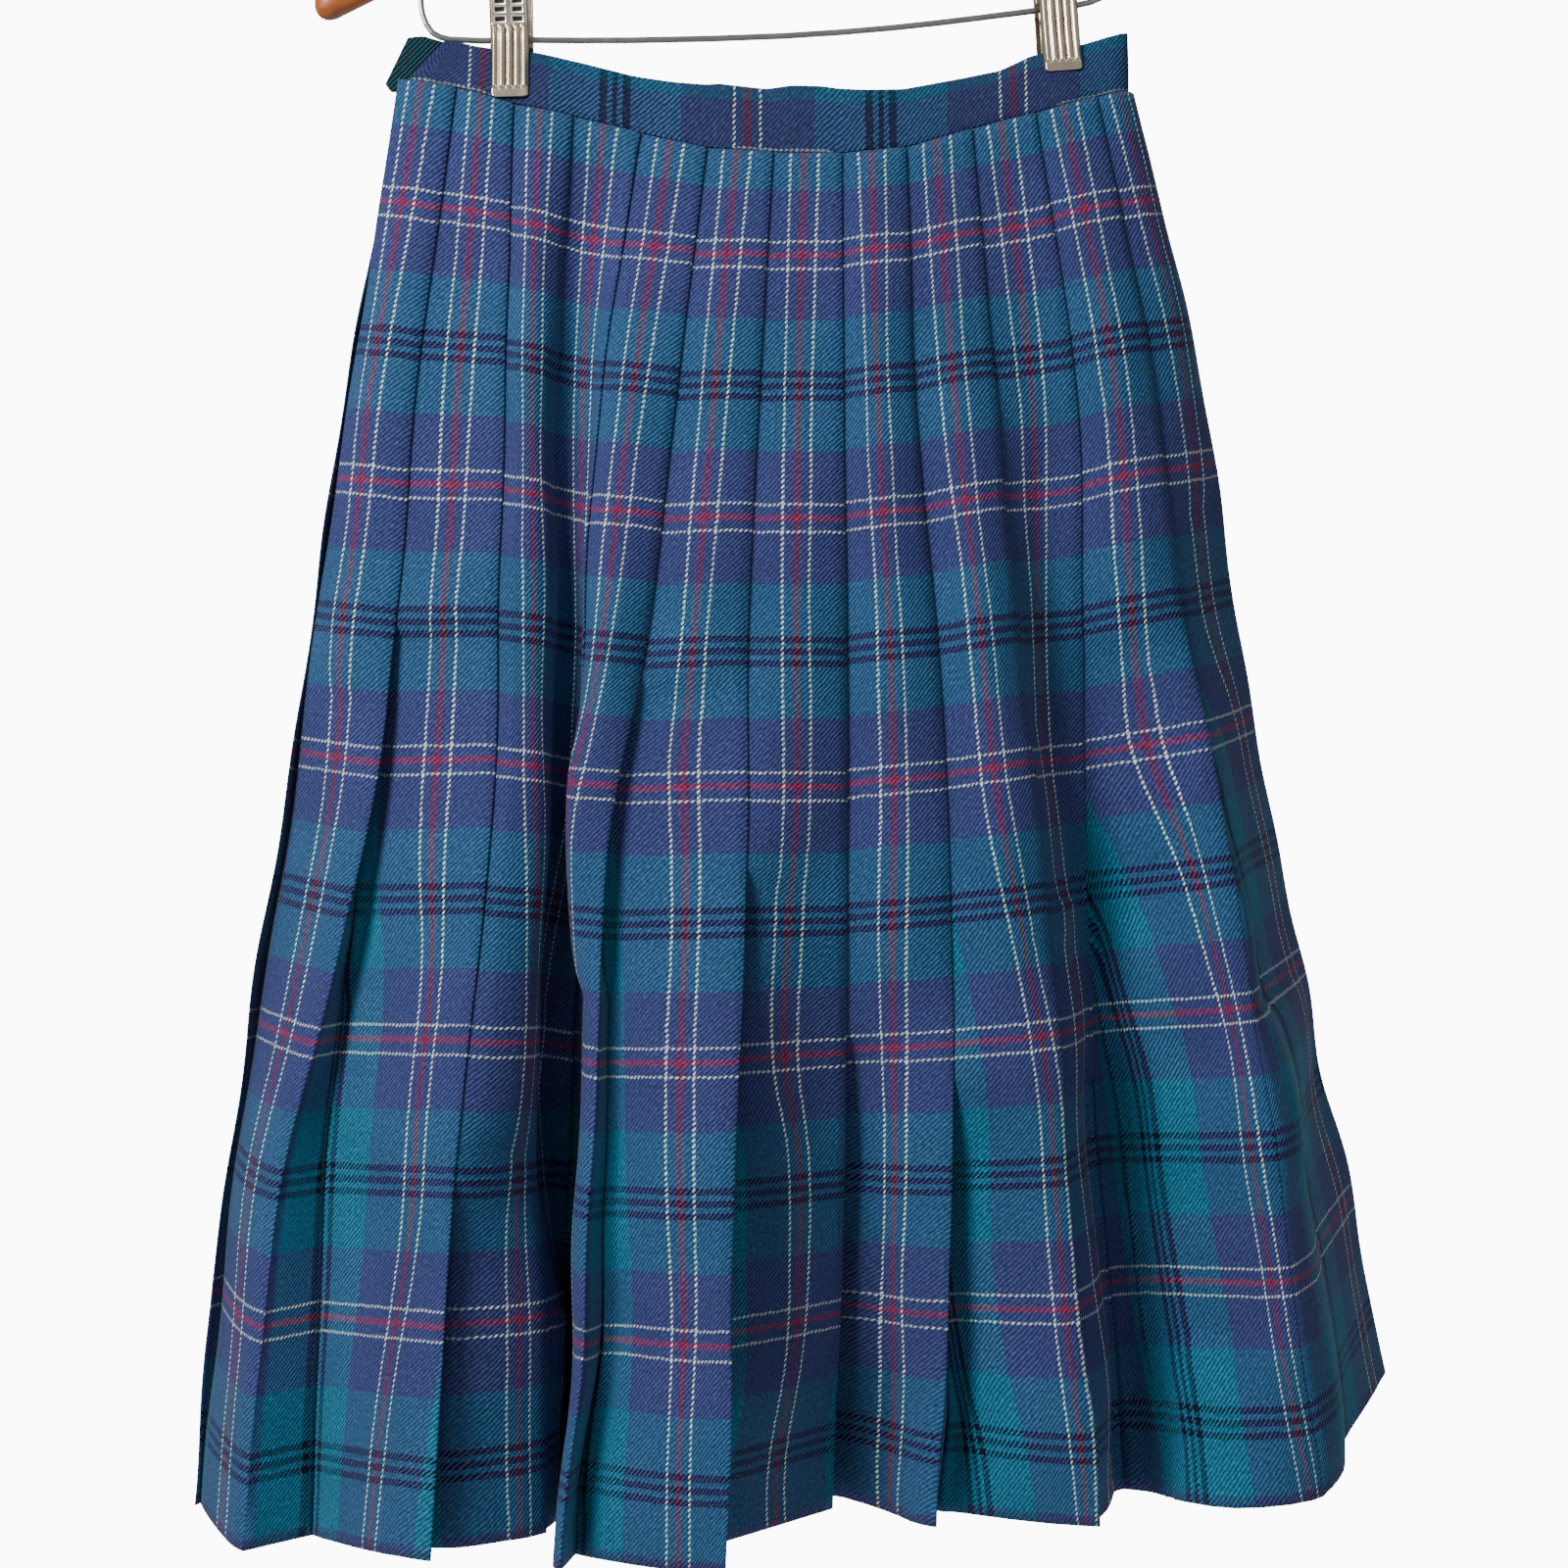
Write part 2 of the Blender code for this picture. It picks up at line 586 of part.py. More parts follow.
def wire_bar(material):
    line = spline([(x / 1000, z / 1000) for x, z in BAR], 2)
    return tube("wire_bar", [(x, 0.0, z) for x, z in line], BAR_WIRE, 10, material)


def clip_jaw(name, x, lips, lean, back, material):
    """One sprung plate: finger end, bend over the roll, and the jaw on the band."""
    pivot = bar_height(x)
    side = 1.0 if back else -1.0
    (grip, edge), band_top = band_face(x, lips, back)
    roll = ROLL_RADIUS + GAP
    inner = [(0.0100, 0.0240), (0.0072, 0.0120), (0.0050, 0.0050), (roll, 0.0012), (roll, -0.0024),
             (grip + GAP, band_top + GRIP_RISE - pivot), (edge + GAP, lips - pivot)]
    inner = np.array(inner)
    outer = inner - side_shift(inner) * CLIP_WALL
    if outer[0][0] < inner[0][0]:
        outer = 2 * inner - outer
    profile = list(inner) + list(outer[::-1])
    bm = bmesh.new()
    left = [bm.verts.new((-CLIP_WIDTH / 2, side * y, z)) for y, z in profile]
    right = [bm.verts.new((CLIP_WIDTH / 2, side * y, z)) for y, z in profile]
    count = len(profile)
    for k in range(count):
        n = (k + 1) % count
        bm.faces.new((left[k], left[n], right[n], right[k]))
    for k in range(len(inner) - 1):
        bm.faces.new((left[k], left[k + 1], left[count - 2 - k], left[count - 1 - k]))
        bm.faces.new((right[k], right[k + 1], right[count - 2 - k], right[count - 1 - k]))
    place = Matrix.Translation((x, 0.0, pivot)) @ Matrix.Rotation(-lean, 4, "Y")
    bmesh.ops.transform(bm, matrix=place, verts=bm.verts)
    return make_object(name, bm, material, smooth=False)


def spring_roll(name, x, lean, material):
    """The roll of spring wire that the bar runs through."""
    bm = bmesh.new()
    inner = BAR_WIRE + GAP
    profile = [(ROLL_HALF, inner), (ROLL_HALF, ROLL_RADIUS), (-ROLL_HALF, ROLL_RADIUS), (-ROLL_HALF, inner)]
    verts = [bm.verts.new((along, 0.0, r)) for along, r in profile]
    edges = [bm.edges.new((verts[k], verts[(k + 1) % 4])) for k in range(4)]
    bmesh.ops.spin(bm, geom=verts + edges, cent=(0.0, 0.0, 0.0), axis=(1.0, 0.0, 0.0),
                   angle=2 * math.pi, steps=16, use_merge=True)
    place = Matrix.Translation((x, 0.0, bar_height(x))) @ Matrix.Rotation(-lean, 4, "Y")
    bmesh.ops.transform(bm, matrix=place, verts=bm.verts)
    return make_object(name, bm, material)


def main():
    remove_old_objects()
    tartan = finish_material("wool tartan", (0.035, 0.095, 0.190), 0.85, 0.0)
    band_cloth = finish_material("wool tartan band", (0.040, 0.075, 0.180), 0.85, 0.0)
    tab_cloth = finish_material("dark green tab", (0.012, 0.070, 0.075), 0.85, 0.0)
    wood = finish_material("varnished wood", (0.420, 0.130, 0.030), 0.30, 0.0)
    chrome = finish_material("chromed clips", (0.720, 0.700, 0.660), 0.15, 1.0)
    steel = finish_material("bar wire", (0.330, 0.330, 0.340), 0.30, 1.0)
    hook_steel = finish_material("hook wire", (0.600, 0.600, 0.600), 0.25, 1.0)
    pleated_panel("front_panel", FRONT, False, True, tartan)
    pleated_panel("back_panel", BACK, True, False, tartan.copy())
    waistband(band_cloth)
    plate("underlap_tab", [(x / 1000, z / 1000) for x, z in TAB], TAB_Y[0], TAB_Y[1], tab_cloth)
    hook_top = tilted(0.0, ARM_MIDDLE[0] + ARM_MIDDLE[1])
    ends = [(hook_top[0], hook_top[1], -TILT, HOOK_BORE)]
    for x, z in (BAR[0], BAR[-1]):
        ends.append((x / 1000, z / 1000 - BORE_DEPTH + GAP, 0.0, BAR_BORE))
    wooden_arm(wood, ends)
    tube("hook", hook_path(), HOOK_WIRE, 12, hook_steel)
    wire_bar(steel)
    for side, x, lips, lean in CLIPS:
        for jaw, back in (("front", False), ("back", True)):
            clip_jaw("clip_%s_%s_jaw" % (side, jaw), x / 1000, lips / 1000, math.radians(lean), back, chrome)
        spring_roll("clip_%s_spring" % side, x / 1000, math.radians(lean), steel)


main()
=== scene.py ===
"""Knife-pleated tartan a-line skirt on a wooden clip hanger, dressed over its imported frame.

Metres, +Z up. The origin is the inside top of the hanger's hook, and the skirt's
front faces -Y. Run as a script.
"""

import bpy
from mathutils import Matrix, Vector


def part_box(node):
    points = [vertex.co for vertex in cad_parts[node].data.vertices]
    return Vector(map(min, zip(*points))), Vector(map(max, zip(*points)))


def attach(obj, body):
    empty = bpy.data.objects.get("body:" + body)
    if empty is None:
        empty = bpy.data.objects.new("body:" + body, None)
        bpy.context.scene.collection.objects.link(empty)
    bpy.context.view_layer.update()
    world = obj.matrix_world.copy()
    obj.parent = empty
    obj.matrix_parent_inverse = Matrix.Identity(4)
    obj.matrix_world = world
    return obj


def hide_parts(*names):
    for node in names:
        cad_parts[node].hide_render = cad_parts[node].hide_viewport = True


bl_info = {
    "name": "Pleated skirt on a clip hanger",
    "version": (1, 0, 0),
    "blender": (4, 5, 0),
    "location": "3D View > Sidebar > Skirt",
    "description": "Builds the skirt's cloth, its hanger and the studio around them",
    "category": "Object",
}

import math

import bmesh
import bpy
import numpy as np
from bpy.props import FloatProperty, FloatVectorProperty, IntProperty, PointerProperty
from mathutils import Matrix, Vector

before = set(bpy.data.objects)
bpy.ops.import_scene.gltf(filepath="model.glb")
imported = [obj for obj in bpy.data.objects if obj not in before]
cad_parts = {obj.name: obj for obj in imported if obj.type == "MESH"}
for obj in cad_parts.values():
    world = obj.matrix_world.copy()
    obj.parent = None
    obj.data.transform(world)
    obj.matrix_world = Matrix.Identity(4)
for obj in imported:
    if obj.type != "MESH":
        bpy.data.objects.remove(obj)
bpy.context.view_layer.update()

# Pleats: places and widths as in the frame, with thinner cloth in closer layers
WAIST_PITCH = 0.029      # what shows of a pleat at the waist seam
HIP_PITCH = 0.0486       # what shows of a pleat where its stitching ends
HIP_DROP = 0.225         # seam to the end of the stitching
TRIM = 0.90              # widest hidden part of a pleat, over what shows of it
HEIGHT = 0.628           # panel, seam to hem
SETT = 0.121             # one repeat of the tartan, and one whole pleat
LAYER = 0.0008           # from one layer of a pressed pleat to the next
BEND = 0.008             # softening of the rings' corners
BOW = 0.42               # how far a face bows out, over the side of the triangle that its slack makes
EDGE_REACH = 0.004       # half the stretch of a ring that its direction is taken over
SWING = (0.008, 0.018)   # depths of a hidden fold between which its legs straighten
CROWN = (0.0006, 0.0020) # how far a pleat's face is rounded at the seam, and what is added by the hem
# Unevenness of the hung cloth, a wave in each row: the drops between which it grows, its height, its
# length along the ring and down the cloth, and its start, in metres and radians
WAVES = ((0.02, 0.10, 0.0007, 0.31, 0.118, 0.7), (0.02, 0.10, 0.0008, 0.143, -0.21, 2.1),
         (0.20, 0.55, 0.0016, 0.22, 0.34, 4.0))
SLIPS = (0.0, 0.9, -0.6, 0.5, 1.3, -0.4, -1.0, 0.3, 0.8, -0.7, 0.6, -0.2, 0.4)   # mm, pleat by pleat
# Where the opened pleats creep along the ring: place on the cloth in setts, mm at 0.46 and at the hem
CREEP = ((0.0, 0, 0), (0.5, 0, 0), (1.0, 0, -20), (1.5, 0, 0), (2.0, 13, 15), (2.5, 0, 0), (4.5, 0, 0),
         (5.0, 0, -2), (6.0, -2, -16), (6.5, 0, 0), (7.0, -2, -7), (7.2, 0, 0), (7.5, 22, 30),
         (8.0, 23, 22), (8.5, 10, 10), (8.9, 0, 0), (9.5, 20, 28), (10.0, 14, 20), (10.5, 5, 5),
         (11.0, 0, 0))
STRAIGHT = (-0.015, 0.0) # how far back a hidden fold lies when its legs bend, and when they run straight
STEP = 0.0020            # a hidden fold less than this behind its free edge counts as open
CLEAR = 0.008            # least distance between the stations of a leg that end on other layers
RETURN = 0.016           # cloth turned in past the front panel's last fold
SEAM_REACH = 0.045       # drop over which the pleats leave the seam's line for their own height
SAMPLES = 1200           # points along a ring's smoothed line
SPLINE_STEPS = 24        # points between two guide points before smoothing

# Waistband
BAND_HEIGHT = 0.027
BAND_PINCH = 0.50        # depth of the band's round at its top, over that at its foot
BAND_SETBACK = 0.0016    # band's middle inside the panels' faces
SEAM_GAP = 0.0006        # from the panels' top to the band's foot
BAND_FRONT = (0.006, 0.004)    # from the front's first and last fold in to the band's ends
BAND_BACK = (0.010, 0.0225)    # the same at the back
BAND_SLANT = 0.017       # how far the end at the opening leans in from its foot to its top
BAND_BULGE = 0.0003      # how far the band's outside is rounded, and how far its foot is gathered
BAND_POINTS = 120        # points along each half of the band
BAND_RIM = 0.03          # share of the band's height that its rounded foot and top each take
BAND_CLOTH = 0.030       # height of the cloth pattern that the band shows
# Colours of the yarns that run along the band, and how far up its cloth each begins
BAND_LINES = ((0.0, "navy"), (0.0009, "white"), (0.0022, "navy"), (0.0225, "teal"), (BAND_CLOTH, "teal"))
BAND_RED = -0.0065       # x of a red line on the band's front
BAND_TURN = 0.148        # from there towards -X to where the band's pattern turns back
BAND_LIFT = (0.0008, 0.0024)   # how far up its cloth the foot lies, and what hides the white line
BAND_TALLER = (-0.105, 0.020, 0.2)   # x past which the lines stand higher, over what length, share
LINE_FADE = 0.008        # length over which the white line at the foot comes and goes
SEAM_LINES = ((-0.175, -0.119), (-0.020, 0.037), (0.126, 0.175))   # where that line shows
# How the front's waist seam and the band's top rise over their even run: x, seam and top in mm
EDGES = ((-154, 4.2, -1.0), (-131, 4.4, -0.7), (-122, 3.6, 0.2), (-104, 3.6, 3.1), (-81, 3.7, 3.1),
         (-61, 2.8, 2.3), (-40, 0.9, 2.5), (-20, -0.5, 4.1), (1, -1.4, 2.2), (13, -2.0, 3.9),
         (26, -2.2, 3.6), (48, -2.1, 0.7), (70, -2.0, -0.9), (92, -1.0, -2.4), (108, -0.7, -3.3),
         (122, -1.1, -0.4), (144, -0.4, -1.0), (165, -0.2, 0.2))
# Outline of the underlap's end, x and z in mm
TAB = ((-163.7, -191.9), (-156.5, -191.2), (-145.6, -194.4), (-145.6, -221.0), (-165.0, -217.2),
       (-171.5, -217.0), (-174.2, -213.4))
YARN_DRIFT = 0.0012      # how far the yarns wander in the weave

# Hanger
TILT = math.radians(3.0)
ARM_HALF = 0.215         # middle to tip
ARM_DEPTH = 0.012        # front to back
ARM_MIDDLE = (-0.082, 0.013)   # at the arm's middle: height of its centre line, and half its thickness
ARM_TIP = (-0.167, 0.0105)     # the same at its tips
# A plate's inner line above the band, from its top: how far out, and how high over the wire
PLATE_LINE = ((0.0100, 0.0240), (0.0082, 0.0120), (0.0071, 0.0050), (0.0067, 0.0012), (0.0067, -0.0020))
PLATE = 0.0009           # thickness of a plate's metal
PLATE_OUT = 0.0010       # plate's outside from its inner line
PLATE_CLEAR = 0.0003     # how far a plate stands out from where its jaw lies
PLATE_GRID = (60, 90)    # points across a plate and along it
PLATE_ROLL = 0.0009      # how far its sides are rolled back
PLATE_ENDS = ((0.0015, 0.0012), (0.0030, 0.0030))   # length and depth of its rounding at lips and top
# Where the flutes begin and are full, over the lips, and where they start to fade and end, over the wire
FLUTED = (0.0036, 0.0050, 0.0034, 0.0052)
FLUTE_FIELD = 0.78       # share of a plate's width that the flutes divide
STUD = (0.0060, 0.0018, 0.0035)             # width, depth and height of a pressed window
STUD_COLUMNS = (-0.0040, 0.0040)
STUD_ROWS = (0.0072, 0.0111, 0.0150, 0.0189)   # over the wire
STUD_SLOT = (0.0009, 0.0006)                # width of a window's rim, and how deep its middle is sunk
# One row for each clip: name, x, height of the wire, lean in degrees, then for its front and its back
# jaw how far out the jaw lies at the top of the band and at its lips, and both heights from the wire
CLIPS = (
    ("left", -0.1158, -0.1939, 1.2,
     (0.00679, 0.01175, -0.00442, -0.0298), (0.00732, 0.01164, -0.00425, -0.0290)),
    ("right", 0.1345, -0.1790, 4.2,
     (0.00681, 0.00915, -0.01715, -0.0320), (0.00726, 0.00987, -0.01315, -0.0310)),
)

# The studio's lights: name, size and place
LIGHTS = (("key", 0.8, (-1.20, -1.30, 0.52)), ("fill_right", 0.5, (1.1, -1.5, -0.1)),
          ("fill_back", 1.6, (0.6, 2.2, 0.5)))
LIT = (0.0, 0.0, -0.35)            # where they point
SEEN = (0.00945, -0.5355)          # x and z at the middle of the picture

# Levels below the seam at which the panels' folds are placed
LEVELS = (0.0, 0.130, 0.225, 0.320, 0.460, 0.628)

# One row for each free fold edge of the front, from the side opening at -X to
# the right: x and y in mm at each level, z in mm at seam and hem, whether a
# short face bows out (1) or dips in (-1), the length of an opened lobe at the
# hem and how deep the hidden fold behind the edge hangs there, both in mm.
FRONT = (
    ((-167, -190, -205, -220, -244, -263), (-3, 2, 7, 12, 20, 22), (-217, -872), 1, 0, 0),
    ((-140, -158, -166, -179, -213, -234), (-9, -14, -16, -20, -26, -35), (-223, -877), 1, 0, 26),
    ((-114, -116, -119, -121, -133, -142), (-10, -19, -26, -36, -58, -75), (-230, -867), 1, 0, 22),
    ((-87, -96, -96, -97, -98, -95), (-12, -12, -12, -14, -24, -35), (-236, -868), 1, 0, 5),
    ((-56, -78, -82, -83, -89, -94), (-15, -25, -24, -14, 10, 30), (-243, -873), -1, 0, 5),
    ((-26, -41, -52, -69, -75, -88), (-18, -27, -34, -44, -58, -70), (-248, -873), 1, 0, 22),
    ((4, -3, -7, -7, -11, -14), (-20, -29, -38, -52, -74, -90), (-249, -868), 1, 0, 24),
    ((35, 36, 37, 37, 36, 31), (-20, -27, -30, -32, -20, 5), (-249, -868), 1, 0, 24),
    ((64, 68, 77, 82, 83, 76), (-18, -25, -30, -36, -44, -42), (-246, -863), 1, 0, 24),
    ((94, 105, 115, 126, 135, 149), (-15, -23, -31, -36, -46, -54), (-238, -860), 1, 0, 8),
    ((123, 142, 145, 147, 152, 167), (-12, -13, -8, 3, 12, 12), (-230, -862), -1, 0, 3),
    ((151, 177, 190, 207, 226, 248), (-10, -11, -12, -24, -40, -36), (-223, -851), 1, 112, 8),
    ((170, 204, 221, 240, 276, 314), (1, 14, 31, 52, 84, 110), (-218, -834), 1, 0, 0),
)

# The same for the back, seen from behind: x runs from the front's right to its left.
BACK = (
    ((-164, -199, -216, -236, -272, -310), (-1, -12, -28, -48, -80, -106), (-218, -834), 1, 0, 0),
    ((-139, -166, -180, -196, -224, -252), (-11, -30, -54, -80, -112, -142), (-222, -842), 1, 0, 20),
    ((-111, -132, -142, -152, -168, -186), (-13, -36, -62, -86, -120, -150), (-229, -850), 1, 0, 10),
    ((-83, -97, -103, -110, -120, -132), (-15, -36, -52, -64, -84, -104), (-236, -856), 1, 0, 8),
    ((-55, -62, -66, -70, -76, -84), (-17, -42, -64, -86, -122, -158), (-242, -862), 1, 0, 24),
    ((-27, -27, -26, -26, -24, -22), (-19, -46, -68, -90, -124, -158), (-247, -866), 1, 0, 22),
    ((1, 9, 13, 18, 26, 36), (-19, -42, -56, -70, -90, -102), (-249, -866), 1, 0, 8),
    ((29, 46, 54, 62, 74, 88), (-18, -42, -62, -86, -120, -148), (-247, -868), 1, 0, 22),
    ((57, 80, 92, 103, 118, 136), (-16, -38, -58, -80, -112, -138), (-242, -870), 1, 0, 10),
    ((85, 112, 124, 136, 154, 172), (-14, -32, -46, -60, -82, -102), (-236, -871), 1, 0, 8),
    ((113, 142, 155, 168, 188, 208), (-12, -26, -38, -50, -72, -90), (-230, -872), 1, 0, 8),
    ((141, 170, 184, 198, 220, 240), (-10, -18, -27, -38, -52, -64), (-223, -873), 1, 0, 8),
    ((166, 193, 208, 223, 248, 267), (-3, -3, -5, -9, -17, -18), (-218, -872), 1, 0, 0),
)


def ease(low, high, value):
    t = min(max((value - low) / (high - low), 0.0), 1.0)
    return t * t * (3 - 2 * t)


def at_level(values, drop):
    """Smooth value between the levels' own values."""
    k = 0
    while k < len(LEVELS) - 2 and drop > LEVELS[k + 1]:
        k += 1

    def slope(j):
        low = max(j - 1, 0)
        high = min(j + 1, len(LEVELS) - 1)
        return (values[high] - values[low]) / (LEVELS[high] - LEVELS[low])

    span = LEVELS[k + 1] - LEVELS[k]
    t = (drop - LEVELS[k]) / span
    return ((2 * t ** 3 - 3 * t ** 2 + 1) * values[k]
            + (t ** 3 - 2 * t ** 2 + t) * slope(k) * span
            + (3 * t ** 2 - 2 * t ** 3) * values[k + 1]
            + (t ** 3 - t ** 2) * slope(k + 1) * span)


def spline(points, steps):
    """Centripetal Catmull-Rom curve through the points."""
    points = np.array(points, float)
    ends = np.vstack([2 * points[0] - points[1], points, 2 * points[-1] - points[-2]])
    out = []
    for i in range(len(points) - 1):
        p = ends[i:i + 4]
        t = [0.0]
        for a, b in zip(p[:-1], p[1:]):
            t.append(t[-1] + np.linalg.norm(b - a) ** 0.5)
        for k in range(steps):
            u = t[1] + (t[2] - t[1]) * k / steps
            a1 = ((t[1] - u) * p[0] + (u - t[0]) * p[1]) / (t[1] - t[0])
            a2 = ((t[2] - u) * p[1] + (u - t[1]) * p[2]) / (t[2] - t[1])
            a3 = ((t[3] - u) * p[2] + (u - t[2]) * p[3]) / (t[3] - t[2])
            b1 = ((t[2] - u) * a1 + (u - t[0]) * a2) / (t[2] - t[0])
            b2 = ((t[3] - u) * a2 + (u - t[1]) * a3) / (t[3] - t[1])
            out.append(((t[2] - u) * b1 + (u - t[1]) * b2) / (t[2] - t[1]))
    out.append(points[-1])
    return np.array(out)


def arc_lengths(line):
    return np.concatenate([[0.0], np.cumsum(np.linalg.norm(np.diff(line, axis=0), axis=1))])


def soften(line, width):
    """The line at even steps, its corners rounded over about the given width."""
    arc = arc_lengths(line)
    even = np.linspace(0.0, arc[-1], SAMPLES)
    step = even[1]
    half = int(3 * width / step)
    kernel = np.exp(-0.5 * (np.arange(-half, half + 1) * step / width) ** 2)
    kernel /= kernel.sum()
    columns = []
    for axis in range(2):
        values = np.interp(even, arc, line[:, axis])
        before = 2 * values[0] - values[1:half + 1][::-1]
        after = 2 * values[-1] - values[-half - 1:-1][::-1]
        columns.append(np.convolve(np.concatenate([before, values, after]), kernel, "valid"))
    return np.stack(columns, 1), arc, even


def pitch_at(drop):
    return WAIST_PITCH + (HIP_PITCH - WAIST_PITCH) * min(drop / HIP_DROP, 1.0)


class Ring:
    """The line that a panel's pleats lie on, at one drop below the seam."""

    def __init__(self, table, drop):
        self.pitch = pitch_at(drop)
        self.under = min((SETT - self.pitch) / 2, TRIM * self.pitch)
        edges = [np.array((at_level(row[0], drop), at_level(row[1], drop))) / 1000 for row in table]
        opened = min(max((drop - HIP_DROP) / (HEIGHT - HIP_DROP), 0.0), 1.0)
        guide = [edges[0]]
        for row, a, b in zip(table[1:], edges[:-1], edges[1:]):
            chord = b - a
            length = np.linalg.norm(chord)
            wanted = max(self.pitch, row[4] / 1000 * opened)
            bow = BOW * math.sqrt(max(wanted ** 2 - length ** 2, 0.0)) * row[3]
            guide.append((a + b) / 2 + bow * np.array((chord[1], -chord[0])) / length)
            guide.append(b)
        rough = spline(guide, SPLINE_STEPS)
        self.line, old_arc, even = soften(rough, BEND)
        self.arc = arc_lengths(self.line)
        self.folds = np.interp(old_arc[::2 * SPLINE_STEPS], even, self.arc)
        self.freedom = min(max((drop - 0.9 * HIP_DROP) / (HEIGHT - 0.9 * HIP_DROP), 0.0), 1.0)

    def place(self, along, inward):
        """Points at arc lengths along the ring, moved inward."""
        along = np.asarray(along, float)
        inside = np.clip(along, 0.0, self.arc[-1])
        middle = np.clip(inside, EDGE_REACH, self.arc[-1] - EDGE_REACH)
        out = []
        tangent = []
        for axis in range(2):
            column = self.line[:, axis]
            out.append(np.interp(inside, self.arc, column))
            tangent.append(np.interp(middle + EDGE_REACH, self.arc, column)
                           - np.interp(middle - EDGE_REACH, self.arc, column))
        length = np.hypot(*tangent)
        tx = tangent[0] / length
        ty = tangent[1] / length
        past = along - inside
        return np.stack([out[0] + past * tx - ty * inward, out[1] + past * ty + tx * inward], -1)


def hidden_folds(ring, table):
    """Place along the ring, depth and straightness of the hidden fold behind each free edge."""
    hidden = []
    folds = ring.folds
    before = folds[0]
    for i in range(1, len(table) - 1):
        under = min(ring.under, TRIM * (folds[i] - before))
        spread = max(folds[i + 1] - folds[i], ring.pitch)
        along = (spread ** 2 + under ** 2 - (ring.pitch + under) ** 2) / (2 * spread)
        depth = math.sqrt(max(under ** 2 - along ** 2, 0.0))
        depth = max(min(depth, table[i][5] / 1000 * ring.freedom ** 0.5), LAYER)
        straight = ease(*SWING, depth) * ease(*STRAIGHT, along)
        hidden.append((folds[i] + along, depth, straight))
        before = max(folds[i], folds[i] + along)
    return hidden


def blend(bent, straight, share):
    return bent * (1 - share) + straight * share


def turned_over(before, fold, side):
    """One layer off the end of a leg, square to its last step."""
    way = (fold - before) / np.linalg.norm(fold - before)
    return fold + side * LAYER * np.array((-way[1], way[0]))


def return_leg(ring, face, i, place, depth, share):
    """From a free edge back under its face to the hidden fold: three points."""
    middle = (place + ring.folds[i]) / 2
    bent = [turned_over(face[-2], face[-1], 1.0)]
    for k, (along, inward) in enumerate(((middle, (LAYER + depth) / 2), (place, depth)), start=1):
        outer = face[-1 - k] if place < ring.folds[i] - STEP else ring.place(along, 0.0)
        bent.append(outer + ring.place(along, inward) - ring.place(along, 0.0))
    edge = ring.place(ring.folds[i], 0.0)
    chord = ring.place(ring.folds[i + 1], 0.0) - edge
    size = np.linalg.norm(chord)
    spread = max(ring.folds[i + 1] - ring.folds[i], ring.pitch)
    inward = np.array((-chord[1], chord[0])) / size
    across = edge + chord / spread * (place - ring.folds[i]) + inward * depth
    end = blend(bent[2], across, share)
    return [bent[0], blend(bent[1], (bent[0] + end) / 2, share), end]


def face_leg(ring, back, i, here, after):
    """From the hidden fold under the free edge and on to the next one: seven points."""
    place, depth, share = here
    near, far = ring.folds[i], ring.folds[i + 1]
    passed = max(near, place + CLEAR)
    tuck = min(max(after, passed + CLEAR), far - CLEAR)
    stations = (place, (place + passed) / 2, passed, (passed + tuck) / 2, tuck, (tuck + far) / 2, far)
    bent = []
    for k, along in enumerate(stations):
        sunk = (depth + LAYER) * (far - along) / (far - place)
        if along >= near:
            sunk = max(sunk, 2 * LAYER * (far - along) / (far - near))
        if k < 2 and place < near - STEP:
            bent.append(back[2 - k] + ring.place(along, LAYER) - ring.place(along, 0.0))
        else:
            bent.append(ring.place(along, sunk))
    start = turned_over(back[1], back[2], -1.0)
    bent[0] = start
    line = []
    for along, point in zip(stations, bent):
        t = (along - place) / (far - place)
        line.append(blend(point, start * (1 - t) + bent[-1] * t, share))
    return line, list(stations)


def cloth_reach(ring, fold):
    """Where the free edge of a pleat and the fold hidden behind it lie along the flat cloth."""
    free = (fold - 1) * SETT + ring.pitch / 2
    return free, free + (SETT - ring.pitch) / 2


def leg_cloth(ring, i, hidden, stations):
    """Place along the flat cloth of the stations of a face and the hidden strip before it."""
    near, far = ring.folds[i], ring.folds[i + 1]
    free = cloth_reach(ring, i + 1)[0]
    under = (SETT - ring.pitch) / 2
    out = []
    lap = near - hidden
    closed = ease(0.0, 0.8 * ring.under, lap)
    for along in stations:
        spread = free - (ring.pitch + under) * (far - along) / (far - hidden)
        if along >= near:
            pressed = free - ring.pitch * (far - along) / (far - near)
        else:
            pressed = free - ring.pitch - under * (near - along) / max(lap, 1e-6)
        out.append(blend(spread, pressed, closed))
    return out


